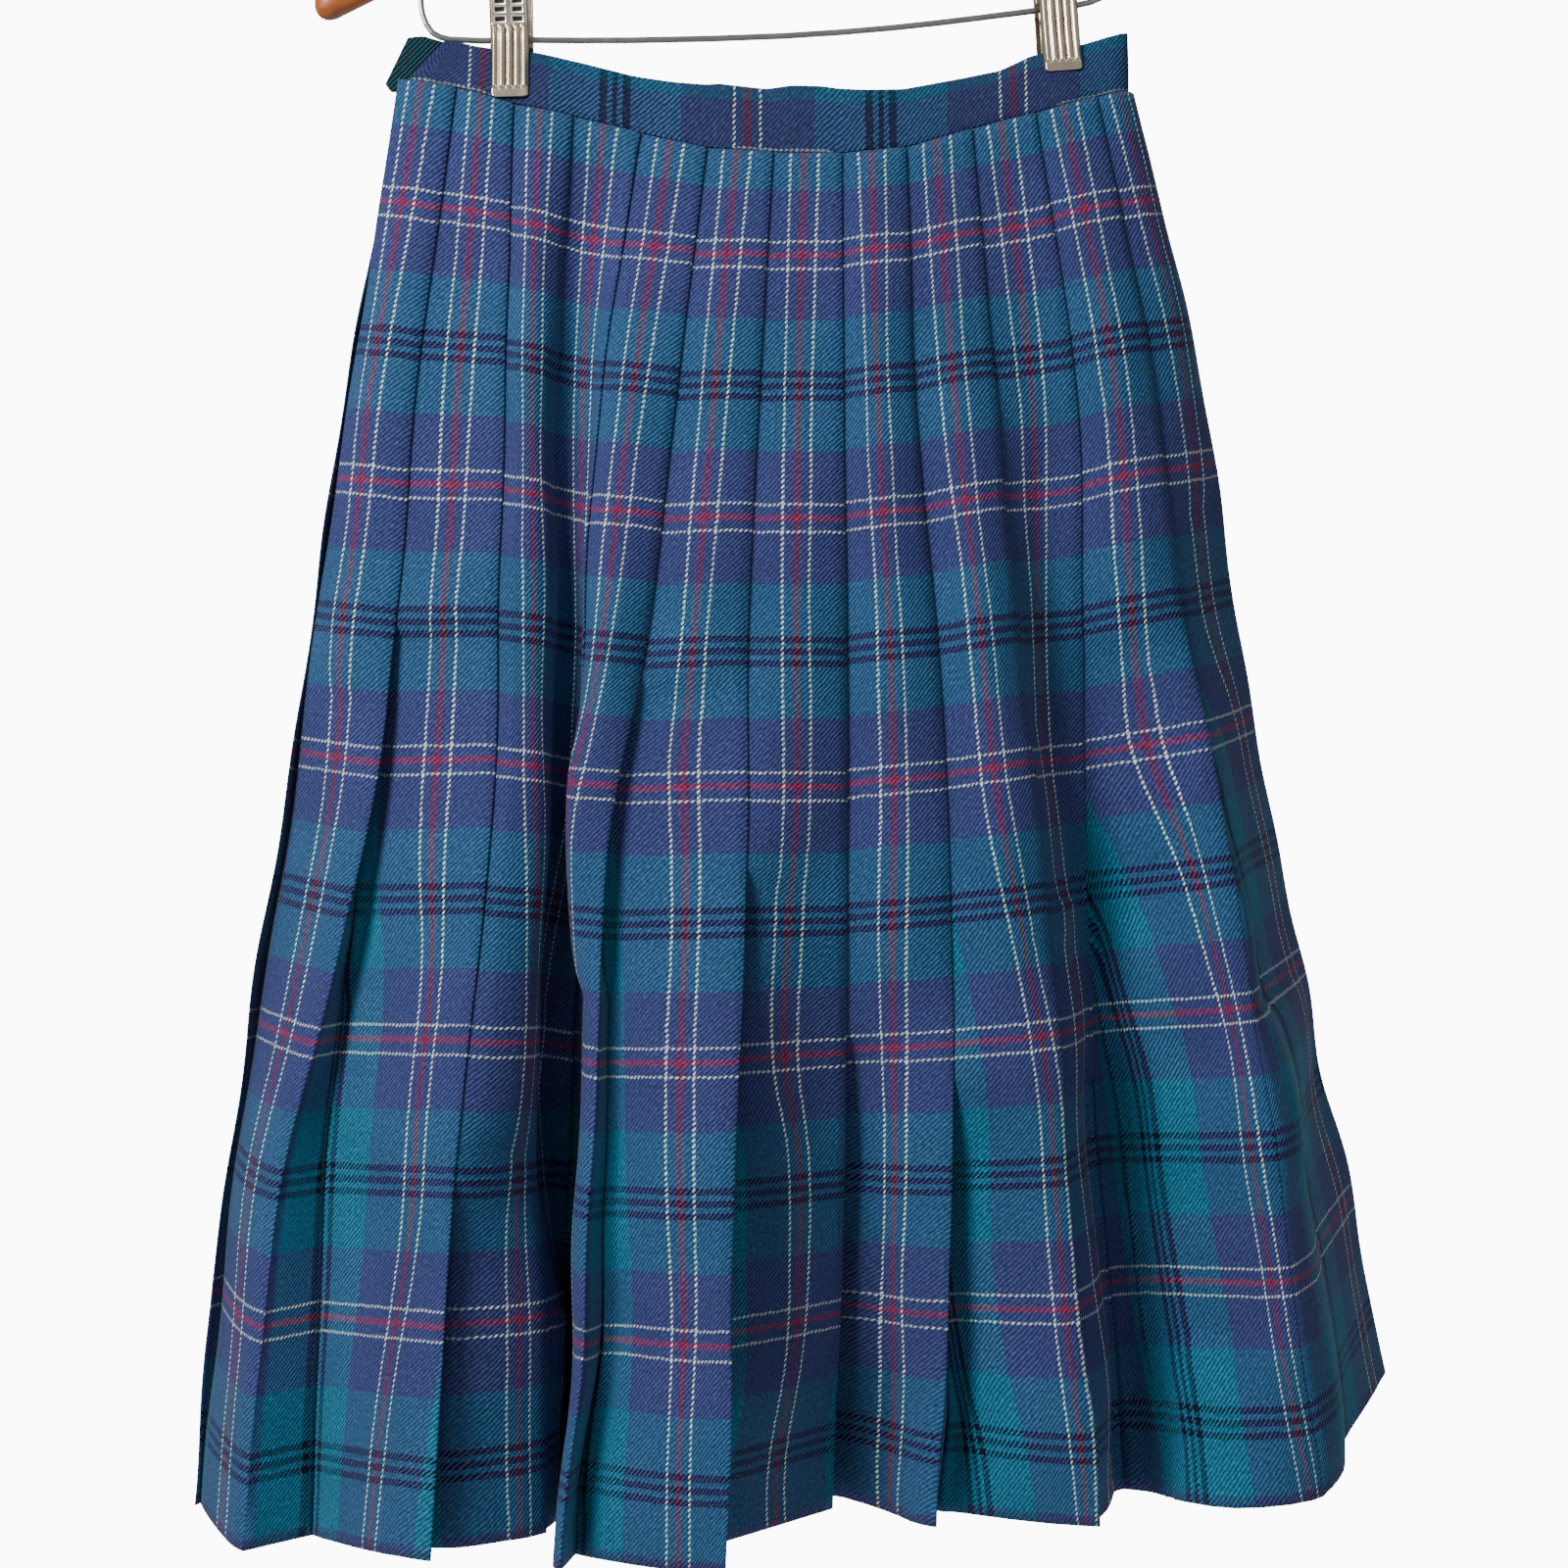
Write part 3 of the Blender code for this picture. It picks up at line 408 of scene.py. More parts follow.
def panel_legs(table, drop):
    """The straight runs of one row from fold to fold: points, ring places, cloth places and openness."""
    ring = Ring(table, drop)
    hidden = hidden_folds(ring, table)
    folds = ring.folds
    tuck = min(hidden[0][0], folds[1] - CLEAR)
    places = [folds[0], (folds[0] + tuck) / 2, tuck, (tuck + folds[1]) / 2, folds[1]]
    free = cloth_reach(ring, 1)[0]
    line = [ring.place(along, 0.0) for along in places]
    legs = [(line, places, [free - (folds[1] - along) for along in places], 0.0)]
    for i, (place, depth, share) in enumerate(hidden, start=1):
        back = return_leg(ring, legs[-1][0], i, place, depth, share)
        after = hidden[i][0] if i < len(hidden) else folds[-1] - RETURN
        face, stations = face_leg(ring, back, i, hidden[i - 1], after)
        free, inner = cloth_reach(ring, i)
        opened = ease(0.0, 0.02, place - folds[i])
        strip = [folds[i], (folds[i] + place) / 2, place]
        legs.append((back, strip, [free, (free + inner) / 2, inner], opened))
        legs.append((face, stations, leg_cloth(ring, i, place, stations), opened))
    if table is FRONT:
        line, places, cloth, _ = legs[-1]
        stops = (folds[-1], places[-2], places[-3])
        turned = [line[-1 - k] + ring.place(along, LAYER) - ring.place(along, 0.0)
                  for k, along in enumerate(stops)]
        legs.append((turned, stops, [cloth[-1] + folds[-1] - along for along in stops], 0.0))
    return ring, legs


def refine(points, steps):
    """The points with smooth steps between them."""
    if len(points) < 3:
        points = [points[0], (points[0] + points[1]) / 2, points[1]]
    return spline(points, steps)


def wave(along, drop):
    """Slow unevenness of the hung cloth, outward in metres."""
    total = 0.0
    for low, high, height, across, down, start in WAVES:
        turned = 2 * math.pi * (along / across + drop / down) + start
        total = total + ease(low, high, drop) * height * np.sin(turned)
    return total


def uneven(number, drop):
    """How far a pleat's cloth slipped down as it was pressed, in metres."""
    slip = SLIPS[(number + 1) // 2 % len(SLIPS)] / 1000
    return slip * ease(0.0, 0.06, drop) * (1.0 - 0.6 * ease(0.25, 0.50, drop))


def crept(reach, drop):
    """Places along the cloth, moved where the front's opened pleats have crept."""
    table = np.array(CREEP)
    low = np.interp(reach / SETT, table[:, 0], table[:, 1]) * ease(0.28, 0.46, drop)
    hem = np.interp(reach / SETT, table[:, 0], table[:, 2])
    return reach - blend(low, hem, ease(0.46, HEIGHT, drop)) / 1000


def panel_row(table, drop, steps):
    """One fine row of a panel: points, ring places and cloth places."""
    ring, legs = panel_legs(table, drop)
    line = []
    places = []
    cloth = []
    fall = []
    crown = CROWN[0] + CROWN[1] * ease(0.15, 0.60, drop)
    for number, (points, stops, reach, opened) in enumerate(legs):
        points = np.array(points)
        fine = refine(points, steps)
        grown = np.linspace(0, len(stops) - 1, len(fine))
        stop = np.interp(grown, range(len(stops)), stops)
        run = np.interp(grown, range(len(stops)), reach)
        if number % 2 == 0:
            near, far = ring.folds[number // 2], ring.folds[number // 2 + 1]
            rise = np.sin(np.clip((stop - near) / (far - near), 0.0, 1.0) * math.pi)
            outward = ring.place(stop, -1.0) - ring.place(stop, 0.0)
            fine = fine + outward * (crown * rise)[:, None]
        if len(line):
            fine = fine + np.outer(np.linspace(opened, 0.0, len(fine)), line[-1] - fine[0])
            way = line[-1] - line[-2]
            way = way / np.linalg.norm(way)
            line.append((line[-1] + fine[0]) / 2 + way * LAYER * 0.35 * (1.0 - opened))
            places.append((places[-1] + stop[0]) / 2)
            fall.append(fall[-1])
            middle = (cloth[-1] + run[0]) / 2
            forth = math.copysign(LAYER / 2, run[-1] - run[0])
            cloth[-1] = middle - forth
            cloth.append(middle)
            run[0] = middle + forth
        line.extend(fine)
        places.extend(stop)
        cloth.extend(run)
        fall.extend([drop + uneven(number, drop)] * len(run))
    places = np.array(places)
    line = np.array(line)
    outward = ring.place(places, -1.0) - ring.place(places, 0.0)
    line = line + outward * wave(places, drop)[:, None]
    cloth = crept(np.array(cloth), drop) if table is FRONT else cloth
    return ring, line, places, zip(cloth, fall)


def seam_height(table, x):
    """Height of the waist seam at an x, both in metres, in the panel's own frame."""
    height = np.interp(x, [row[0][0] / 1000 for row in table], [row[2][0] / 1000 for row in table])
    return height + edge_rise(x, 1) if table is FRONT else height


def edge_rise(x, edge):
    """How far the front's seam (1) or the band's top (2) rises at an x, in metres."""
    return np.interp(x, [row[0] / 1000 for row in EDGES], [row[edge] / 1000 for row in EDGES])


def finish_piece(name, bm, material, places=None, angle=40.0):
    """An object of the finished mesh, with its places on the flat cloth as a UV map."""
    mesh = bpy.data.meshes.new(name)
    bm.verts.index_update()
    bm.to_mesh(mesh)
    bm.free()
    mesh.shade_smooth()
    if angle:
        mesh.set_sharp_from_angle(angle=math.radians(angle))
    mesh.materials.append(material)
    if places is not None:
        layer = mesh.uv_layers.new(name="cloth")
        corners = np.empty(len(mesh.loops), np.int32)
        mesh.loops.foreach_get("vertex_index", corners)
        layer.data.foreach_set("uv", np.array(places, np.float32)[corners].ravel())
    piece = bpy.data.objects.new(name, mesh)
    bpy.context.scene.collection.objects.link(piece)
    return piece


def pleated_cloth(name, table, turned, rows, steps, wall, material):
    """A panel as a thin sheet through its pleated rows, with the wall added by Solidify."""
    tops = [row[2][0] / 1000 for row in table]
    hems = [row[2][1] / 1000 for row in table]
    sign = -1.0 if turned else 1.0
    bm = bmesh.new()
    grid = []
    flat = []
    for drop in np.linspace(0.0, HEIGHT, rows):
        ring, line, places, reach = panel_row(table, drop, steps)
        local_top = np.interp(places, ring.folds, tops)
        seam = seam_height(table, line[:, 0])
        top = blend(seam, local_top, ease(0.0, SEAM_REACH, drop))
        height = top + (np.interp(places, ring.folds, hems) - top) * drop / HEIGHT
        grid.append([bm.verts.new((sign * x, sign * y, z)) for (x, y), z in zip(line, height)])
        flat.extend(reach)
    for upper, lower in zip(grid[:-1], grid[1:]):
        for k in range(len(upper) - 1):
            bm.faces.new((upper[k], lower[k], lower[k + 1], upper[k + 1]))
    piece = finish_piece(name, bm, material, flat, angle=None)
    shell = piece.modifiers.new("wall", "SOLIDIFY")
    shell.thickness = wall
    shell.offset = 0.0
    return piece


def side_shift(line):
    """Unit normals of a line's points."""
    way = np.gradient(line, axis=0)
    way /= np.linalg.norm(way, axis=1)[:, None]
    return np.stack([way[:, 1], -way[:, 0]], 1)


def band_line(level):
    """The band's middle line at a level of its height, with its seam heights and how tall it is."""
    rows = []
    for table, sign, ends in ((FRONT, 1.0, BAND_FRONT), (BACK, -1.0, BAND_BACK)):
        ring = Ring(table, 0.0)
        start = ring.folds[0] + ends[0]
        end = ring.folds[-1] - ends[1]
        for step in np.linspace(0.0, 1.0, BAND_POINTS):
            along = start + (end - start) * step
            if table is FRONT:
                along += BAND_SLANT * level * max(1.0 - step * 12, 0.0)
            x, y = ring.place(along, BAND_SETBACK)
            y *= 1.0 - (1.0 - BAND_PINCH) * level
            tall = BAND_HEIGHT + edge_rise(sign * x, 2) - (edge_rise(x, 1) if table is FRONT else 0.0)
            foot = seam_height(table, x) + (SEAM_GAP if table is FRONT else -2 * SEAM_GAP)
            rows.append((sign * x, sign * y, foot, tall))
    return np.array(rows)


def band_profile(half, bulge):
    """Section of the band from its foot up the outside, over the fold and down the inside."""
    flat = 1 - 2 * BAND_RIM
    profile = []
    for k in range(9):
        level = BAND_RIM + flat * k / 8
        profile.append((level, half + bulge * math.sin(math.pi * level)))
    for k in range(1, 6):
        a = math.pi * k / 6
        profile.append((BAND_RIM + flat + BAND_RIM * math.sin(a), half * math.cos(a)))
    for k in range(5):
        profile.append((BAND_RIM + flat * (1 - k / 4), -half))
    profile.append((0.0, -half * 0.6))
    profile.append((0.0, half * 0.6))
    return profile


def waistband_cloth(settings, material):
    """The folded strip round the waist, a closed form with a rounded top fold."""
    bm = bmesh.new()
    grid = []
    flat = []
    base = band_line(0.0)
    arc = arc_lengths(base[:, :2])
    red = np.interp(BAND_RED, base[:BAND_POINTS, 0], arc[:BAND_POINTS])
    across = np.where(np.arange(len(arc)) < BAND_POINTS, base[:, 0], 1.0)
    shown = sum(np.clip((across - a) / LINE_FADE, 0.0, 1.0) * np.clip((b - across) / LINE_FADE, 0.0, 1.0)
                for a, b in SEAM_LINES)
    edge, fade, share = BAND_TALLER
    squeeze = 1.0 - share * np.clip((edge - across) / fade, 0.0, 1.0)
    reach = np.abs(arc - red + BAND_TURN) - BAND_TURN
    for level, out in band_profile(settings.band_thickness / 2, BAND_BULGE):
        row = band_line(level)
        gather = BAND_BULGE * (1.0 - level) * math.copysign(1.0, out)
        outward = out + gather * np.sin(2 * math.pi * arc / WAIST_PITCH)
        xy = row[:, :2] + side_shift(row[:, :2]) * outward[:, None]
        z = row[:, 2] + row[:, 3] * level
        grid.append([bm.verts.new((x, y, height)) for (x, y), height in zip(xy, z)])
        lift = BAND_LIFT[0] + BAND_LIFT[1] * (1.0 - shown) * (1.0 - level)
        flat.extend(zip(reach, (BAND_HEIGHT * level + lift) * squeeze))
    for k in range(len(grid)):
        lower, upper = grid[k], grid[(k + 1) % len(grid)]
        for i in range(len(lower) - 1):
            bm.faces.new((lower[i], lower[i + 1], upper[i + 1], upper[i]))
    for end in (0, -1):
        bm.faces.new([row[end] for row in grid])
    bmesh.ops.recalc_face_normals(bm, faces=bm.faces)
    return finish_piece("waistband_cloth", bm, material, flat)


def round_edges(bm, edges, offset, segments):
    bmesh.ops.bevel(bm, geom=edges, offset=offset, offset_type="OFFSET", segments=segments,
                    profile=0.5, affect="EDGES", material=-1)


def underlap_cloth(material):
    """The end of the band that passes under the opening: a flat folded tab with soft edges."""
    low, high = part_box("underlap_tab")
    bm = bmesh.new()
    verts = [bm.verts.new((x / 1000, high.y, z / 1000)) for x, z in TAB]
    face = bm.faces.new(verts)
    grown = bmesh.ops.extrude_face_region(bm, geom=[face])
    moved = [v for v in grown["geom"] if isinstance(v, bmesh.types.BMVert)]
    bmesh.ops.translate(bm, verts=moved, vec=(0.0, low.y - high.y, 0.0))
    bmesh.ops.recalc_face_normals(bm, faces=bm.faces)
    round_edges(bm, list(bm.edges), 0.0008, 3)
    bm.verts.index_update()
    flat = [(v.co.x, v.co.z) for v in bm.verts]
    return finish_piece("underlap_cloth", bm, material, flat)


# Hanger

def tilted(x, z):
    """A place on the level hanger, turned with its tilt about the hook."""
    return (x * math.cos(TILT) - z * math.sin(TILT), x * math.sin(TILT) + z * math.cos(TILT))


def arm_section(x):
    """Matrix that takes a unit ring to the wood's outline at a distance along the arm."""
    t = (abs(x) / ARM_HALF) ** 1.15
    middle = ARM_MIDDLE[0] + (ARM_TIP[0] - ARM_MIDDLE[0]) * t
    half = ARM_MIDDLE[1] + (ARM_TIP[1] - ARM_MIDDLE[1]) * t
    past = max((abs(x) - (ARM_HALF - ARM_TIP[1])) / ARM_TIP[1], 0.0)
    close = max(1.0 - past ** 2, 0.0009) ** 0.5
    px, pz = tilted(x, middle)
    return (Matrix.Translation((px, 0.0, pz)) @ Matrix.Rotation(-TILT, 4, "Y")
            @ Matrix.Diagonal((1.0, ARM_DEPTH / 2 * close, half * close, 1.0)))


def draw_out(bm, ring):
    """Extrude a ring of vertices and give the new ring in the same order."""
    edges = [e for e in bm.edges if e.verts[0] in ring and e.verts[1] in ring]
    grown = bmesh.ops.extrude_edge_only(bm, edges=edges)
    after = {g for g in grown["geom"] if isinstance(g, bmesh.types.BMVert)}
    return [next(e.other_vert(v) for e in v.link_edges if e.other_vert(v) in after) for v in ring]


def sweep(bm, shape, places):
    """Draw a closed outline through the placing matrices and close both its ends."""
    ring = [bm.verts.new(places[0] @ co) for co in shape]
    for a, b in zip(ring, ring[1:] + ring[:1]):
        bm.edges.new((a, b))
    first = ring
    for place in places[1:]:
        ring = draw_out(bm, ring)
        for v, co in zip(ring, shape):
            v.co = place @ co
    bm.faces.new(first)
    bm.faces.new(ring)


def outline_circle(sides, radius, power=1.0):
    """A ring of points round X, squarer where the power is below one."""
    points = []
    for k in range(sides):
        a = 2 * math.pi * (k + 0.5) / sides
        y = math.copysign(abs(math.cos(a)) ** power, math.cos(a))
        z = math.copysign(abs(math.sin(a)) ** power, math.sin(a))
        points.append(Vector((0.0, radius * y, radius * z)))
    return points


def wooden_bar(material):
    """The shaped wooden bar with its round tips."""
    stations = 96
    places = [arm_section(-ARM_HALF * math.cos(math.pi * i / stations)) for i in range(stations + 1)]
    bm = bmesh.new()
    sweep(bm, outline_circle(40, 1.0, 0.75), places)
    bmesh.ops.recalc_face_normals(bm, faces=bm.faces)
    return finish_piece("varnished_bar", bm, material, angle=60.0)


def jaw_path(grip, edge, top, lips):
    """Inner line of a sprung plate in depth and height over the wire, smoothed at its bends."""
    guide = [*PLATE_LINE, (grip + PLATE_CLEAR, top), (edge + PLATE_CLEAR, lips)]
    bend = len(PLATE_LINE)
    dense = np.vstack([spline(guide[:bend], 6), spline(guide[bend - 1:], 14)[1:]])
    arc = arc_lengths(dense)
    even = np.linspace(0.0, arc[-1], PLATE_GRID[1])
    return np.stack([np.interp(even, arc, dense[:, 0]), np.interp(even, arc, dense[:, 1])], 1)


def clip_plate(name, place, jaw, back, settings, materials):
    """A pressed plate: flutes from the wire down to the lips, studs above them, and rolled sides."""
    side = 1.0 if back else -1.0
    path = jaw_path(*jaw)
    normal = -side_shift(path)
    half = settings.clip_width / 2 * (1.08 if back else 1.0)
    bm = bmesh.new()
    groove = bm.verts.layers.float.new("groove")
    made = bmesh.ops.create_grid(bm, x_segments=PLATE_GRID[0], y_segments=len(path) - 1, size=1.0)
    head = path[0][1]
    lips = jaw[3]
    for v in made["verts"]:
        across = v.co.x
        row = round((v.co.y + 1.0) / 2 * (len(path) - 1))
        (y, z), (ny, nz) = path[row], normal[row]
        width = half
        for gap, (length, depth) in zip((z - lips, head - z), PLATE_ENDS):
            width -= depth * max(1.0 - gap / length, 0.0) ** 2
        fluted = ease(lips + FLUTED[0], lips + FLUTED[1], z) * (1.0 - ease(FLUTED[2], FLUTED[3], z))
        fluted *= 1.0 - ease(0.82, 0.94, abs(across))
        flute = abs(math.cos(math.pi * settings.flutes * (across / FLUTE_FIELD + 1.0) / 2)) ** 0.7
        rolled = PLATE_ROLL * ease(0.88, 1.0, abs(across))
        out = PLATE_OUT + settings.flute_depth * flute * fluted - rolled
        # Painted shade: darkest at the bottoms of the flutes and on the rolled sides, read by the
        # metal's colour
        v[groove] = fluted * (1.0 - flute) ** 2 + ease(0.93, 1.0, abs(across))
        v.co = Vector((width * across, side * (y + ny * out), z + nz * out))
    bmesh.ops.recalc_face_normals(bm, faces=bm.faces)
    if side * sum(f.normal.y for f in bm.faces) < 0:
        bmesh.ops.reverse_faces(bm, faces=bm.faces)
    for column in STUD_COLUMNS:
        for rise in STUD_ROWS:
            row = int(np.argmin(np.abs(path[:, 1] - rise)))
            y, z = path[row] + normal[row] * PLATE_OUT
            turn = Matrix.Rotation(side * math.atan2(normal[row][1], normal[row][0]), 4, "X")
            add_stud(bm, Matrix.Translation((column, side * y, z)) @ turn, side)
    bmesh.ops.transform(bm, matrix=place, verts=bm.verts)
    piece = finish_piece(name, bm, materials[0], angle=50.0)
    for material in materials[1:]:
        piece.data.materials.append(material)
    wall = piece.modifiers.new("wall", "SOLIDIFY")
    wall.thickness = PLATE
    wall.offset = -1.0
    return piece


def add_stud(bm, place, side):
    """A raised pressed window: a soft-edged oblong with a sunk middle."""
    made = bmesh.ops.create_cube(bm, size=1.0, matrix=place @ Matrix.Diagonal((*STUD, 1.0)))
    faces = list({f for v in made["verts"] for f in v.link_faces})
    out = (place.to_3x3() @ Vector((0.0, side, 0.0))).normalized()
    front = max(faces, key=lambda f: f.normal.dot(out))
    # The window's body and the sides of its slot take the lightened rim material, a painted highlight,
    # and its sunk middle the slots' painted shadow
    for face in faces:
        face.material_index = 1
    rim = list({e for f in faces for e in f.edges})
    slot = bmesh.ops.inset_region(bm, faces=[front], thickness=STUD_SLOT[0], depth=-STUD_SLOT[1])
    for face in slot["faces"]:
        face.material_index = 1
    front.material_index = 2
    round_edges(bm, rim, 0.0004, 2)


def spring_coil(name, place, settings, material):
    """A wound wire round the bar, its two ends bent up behind the front plate."""
    turns = 6
    around = 20
    radius = 0.0029
    wire = settings.spring_wire / 2
    half = 0.0042
    leg = ((-radius - 0.0004, 0.0090), (-radius - 0.0001, 0.0045))
    path = [Vector((-half, y, z)) for y, z in leg]
    for k in range(turns * around + 1):
        a = math.pi + 2 * math.pi * k / around
        x = -half + 2 * half * k / (turns * around)
        path.append(Vector((x, radius * math.cos(a), radius * math.sin(a))))
    path.extend([Vector((half, y, z)) for y, z in reversed(leg)])
    bm = bmesh.new()
    places = []
    along_bar = Vector((1.0, 0.0, 0.0))
    for i, point in enumerate(path):
        way = (path[min(i + 1, len(path) - 1)] - path[max(i - 1, 0)]).normalized()
        side = (along_bar - way * along_bar.dot(way)).normalized()
        turn = Matrix((way, side, way.cross(side))).transposed().to_4x4()
        places.append(Matrix.Translation(point) @ turn)
    sweep(bm, outline_circle(10, wire), places)
    bmesh.ops.recalc_face_normals(bm, faces=bm.faces)
    bmesh.ops.transform(bm, matrix=place, verts=bm.verts)
    return finish_piece(name, bm, material, angle=60.0)


# Materials

class Signal:
    """A socket of a material's nodes; arithmetic on it adds Math nodes."""

    def __init__(self, tree, socket=None):
        self.tree = tree
        self.socket = socket

    def node(self, kind, settings, inputs, output=0):
        """Add a node: its settings first, then the values or links of its inputs."""
        made = self.tree.nodes.new(kind)
        for name, value in settings.items():
            if name == "stops":
                ramp = made.color_ramp
                ramp.elements[-1].position = value[-1][0]
                ramp.elements[0].position = value[0][0]
                for place, _ in value[1:-1]:
                    ramp.elements.new(place)
                for element, (_, colour) in zip(ramp.elements, value):
                    element.color = (*colour, 1.0)
            elif name == "interpolation":
                made.color_ramp.interpolation = value
            else:
                setattr(made, name, value)
        for key, value in inputs.items():
            if isinstance(value, Signal):
                self.tree.links.new(value.socket, made.inputs[key])
            else:
                made.inputs[key].default_value = value
        return Signal(self.tree, made.outputs[output])

    def also(self, output):
        """Another output of the same node."""
        return Signal(self.tree, self.socket.node.outputs[output])

    def math(self, operation, *others):
        inputs = dict(enumerate((self, *others)))
        return self.node("ShaderNodeMath", {"operation": operation}, inputs)

    def clamped(self):
        return self.node("ShaderNodeClamp", {}, {0: self})

    def __add__(self, other):
        return self.math("ADD", other)

    def __sub__(self, other):
        return self.math("SUBTRACT", other)

    def __mul__(self, other):
        return self.math("MULTIPLY", other)

    def __truediv__(self, other):
        return self.math("DIVIDE", other)

    def __rsub__(self, other):
        return self.node("ShaderNodeMath", {"operation": "SUBTRACT"}, {0: other, 1: self})

    __radd__ = __add__
    __rmul__ = __mul__

    def mix(self, low, high):
        """The two colours mixed by this factor."""
        settings = {"data_type": "RGBA", "clamp_factor": True}
        low = low if isinstance(low, Signal) else (*low, 1.0)
        high = high if isinstance(high, Signal) else (*high, 1.0)
        return self.node("ShaderNodeMix", settings, {0: self, 6: low, 7: high}, output=2)

    def scaled(self, colour):
        """A colour made brighter or darker by this value."""
        return self.node("ShaderNodeVectorMath", {"operation": "SCALE"}, {0: colour, 3: self})

    def noise(self, scale, output=0, **more):
        """Noise at these places."""
        return self.node("ShaderNodeTexNoise", {}, {"Vector": self, "Scale": scale, **more}, output)

    def stretched(self, scale):
        """These places stretched along the axes."""
        return self.node("ShaderNodeMapping", {}, {"Vector": self, "Scale": scale})

    def ramp(self, stops, interpolation="LINEAR"):
        """The colour that the stops give for this value."""
        settings = {"stops": stops, "interpolation": interpolation}
        return self.node("ShaderNodeValToRGB", settings, {0: self})

    def bump(self, strength, distance):
        """A normal bent by this height."""
        inputs = {"Strength": strength, "Distance": distance, "Height": self}
        return self.node("ShaderNodeBump", {}, inputs)


def new_material(name, **fixed):
    """A material with its shader's own sockets set, and a signal to start its nodes from."""
    material = bpy.data.materials.new(name)
    material.use_nodes = True
    tree = material.node_tree
    shader = tree.nodes["Principled BSDF"]
    for key, value in fixed.items():
        shader.inputs[key.replace("_", " ")].default_value = value
    return material, Signal(tree), shader


def feed(shader, **links):
    for key, signal in links.items():
        signal.tree.links.new(signal.socket, shader.inputs[key.replace("_", " ")])


def sett_stops(settings, yarns):
    """Ramp stops over half a sett, from the middle of the red line to that of the dark lines."""
    half = settings.sett / 2
    red = settings.red_line / 2
    white = settings.white_line / 2
    dark = settings.dark_line / 2
    apart = settings.white_reach
    triple = half - settings.dark_reach
    stops = ((0.0, "red"), (red, "navy"), (apart - white, "white"), (apart + white, "navy"),
             (settings.navy_reach, "teal"), (triple - dark, "dark"), (triple + dark, "teal"),
             (half - dark, "dark"))
    return [(place / half, yarns[key]) for place, key in stops]


def twill(u, v, threads, lean, share):
    """Thread numbers of a twill, its mask of warp on top, and its diagonal ribs from -1 to 1."""
    i = (u * threads).math("FLOOR")
    j = (v * threads).math("FLOOR")
    over = ((i + j * lean) * 0.25).math("FRACT").math("LESS_THAN", share)
    rib = ((u + v * lean) * (threads * 0.5 * math.pi)).math("SINE")
    return i, j, over, rib


def thread_distance(thread, threads, sett, start):
    """How far a thread lies from the nearest red line, over half a sett."""
    place = (thread + 0.5) / threads - start
    return ((place / sett + 0.5).math("FRACT") - 0.5).math("ABSOLUTE") * 2.0


def woollen(name, settings):
    """A dull woollen material, with the places on its flat cloth."""
    material, begin, shader = new_material(name, Roughness=0.92, Sheen_Weight=settings.sheen,
                                           Specular_IOR_Level=0.18)
    return material, begin.node("ShaderNodeUVMap", {"uv_map": "cloth"}, {}), shader


def woven(name, settings, start, lean, weft_colours, shade=1.0):
    """Woollen twill in the tartan's colours, on the flat cloth's own places; a shade below one paints
    the whole cloth darker as painted shade.
    """
    material, places, shader = woollen(name, settings)
    shader.inputs["Sheen Roughness"].default_value = 0.45
    shader.inputs["Sheen Tint"].default_value = (0.55, 0.70, 0.90, 1.0)
    drift = places.noise(210.0, output=1, Detail=2.0)
    drift = drift.node("ShaderNodeVectorMath", {"operation": "SCALE"}, {0: drift, 3: YARN_DRIFT})
    drawn = drift.node("ShaderNodeVectorMath", {"operation": "ADD"}, {0: places, 1: drift})
    u = drawn.node("ShaderNodeSeparateXYZ", {}, {0: drawn})
    v = u.also(1)
    threads = settings.threads / settings.sett
    i, j, over, rib = twill(u, v, threads, lean, settings.warp_share)

    # Yarn colour times the shade: painted shade where the shade is below one
    def shaded_yarn(key):
        return tuple(c * shade for c in getattr(settings, key))

    def striped(thread, begin, colours):
        reach = thread_distance(thread, threads, settings.sett, begin)
        return reach.ramp(sett_stops(settings, colours), "CONSTANT")

    yarns = {key: shaded_yarn(key) for key in ("navy", "teal", "red", "white", "dark")}
    warp_yarns = {**yarns, "red": shaded_yarn("red_warp")}
    if weft_colours is not None:
        warp_yarns["teal"] = shaded_yarn("band_teal")
    warp = striped(i, 0.0, warp_yarns)
    if weft_colours is None:
        weft = striped(j, start, yarns)
    else:
        stops = [(place / BAND_CLOTH, yarns[key]) for place, key in weft_colours]
        weft = ((j + 0.5) / threads / BAND_CLOTH).clamped().ramp(stops, "CONSTANT")
    fibre = places.noise(560.0, Detail=2.0, Roughness=0.7)
    cloud = places.noise(28.0, Detail=3.0)
    # Painted shade and highlight: the colour is lightened on the twill's ribs and darkened in the gaps
    # between them, over the wool's random tone from fibre and cloud
    light = (0.94 + rib * (0.10 + cloud * 0.62)) * (fibre * 2.0) * (0.78 + cloud * 0.44)
    fleck = ((fibre - 0.60) * 4.0).clamped() * 0.16
    colour = fleck.mix(light.scaled(over.mix(weft, warp)), (0.22, 0.32, 0.45))
    feed(shader, Base_Color=colour, Normal=(rib * 0.4 + fibre * 0.6).bump(0.8, 0.0005))
    return material


def tab_material(settings):
    """The band's dark green end: the same twill with dark threads crossing deep teal ones."""
    material, places, shader = woollen("dark_green_twill", settings)
    u = places.node("ShaderNodeSeparateXYZ", {}, {0: places})
    _, _, over, rib = twill(u, u.also(1), settings.threads / settings.sett, -1.0, 0.5)
    fibre = places.noise(950.0, Detail=3.0)
    colour = over.mix(tuple(settings.dark), tuple(settings.tab_green))
    # Painted shade and highlight: lighter on the twill's ribs and darker between them, over the fibre's
    # random tone
    light = (0.85 + rib * 0.35) * (0.20 + fibre * 1.6)
    feed(shader, Base_Color=light.scaled(colour), Normal=rib.bump(0.5, 0.0003))
    return material


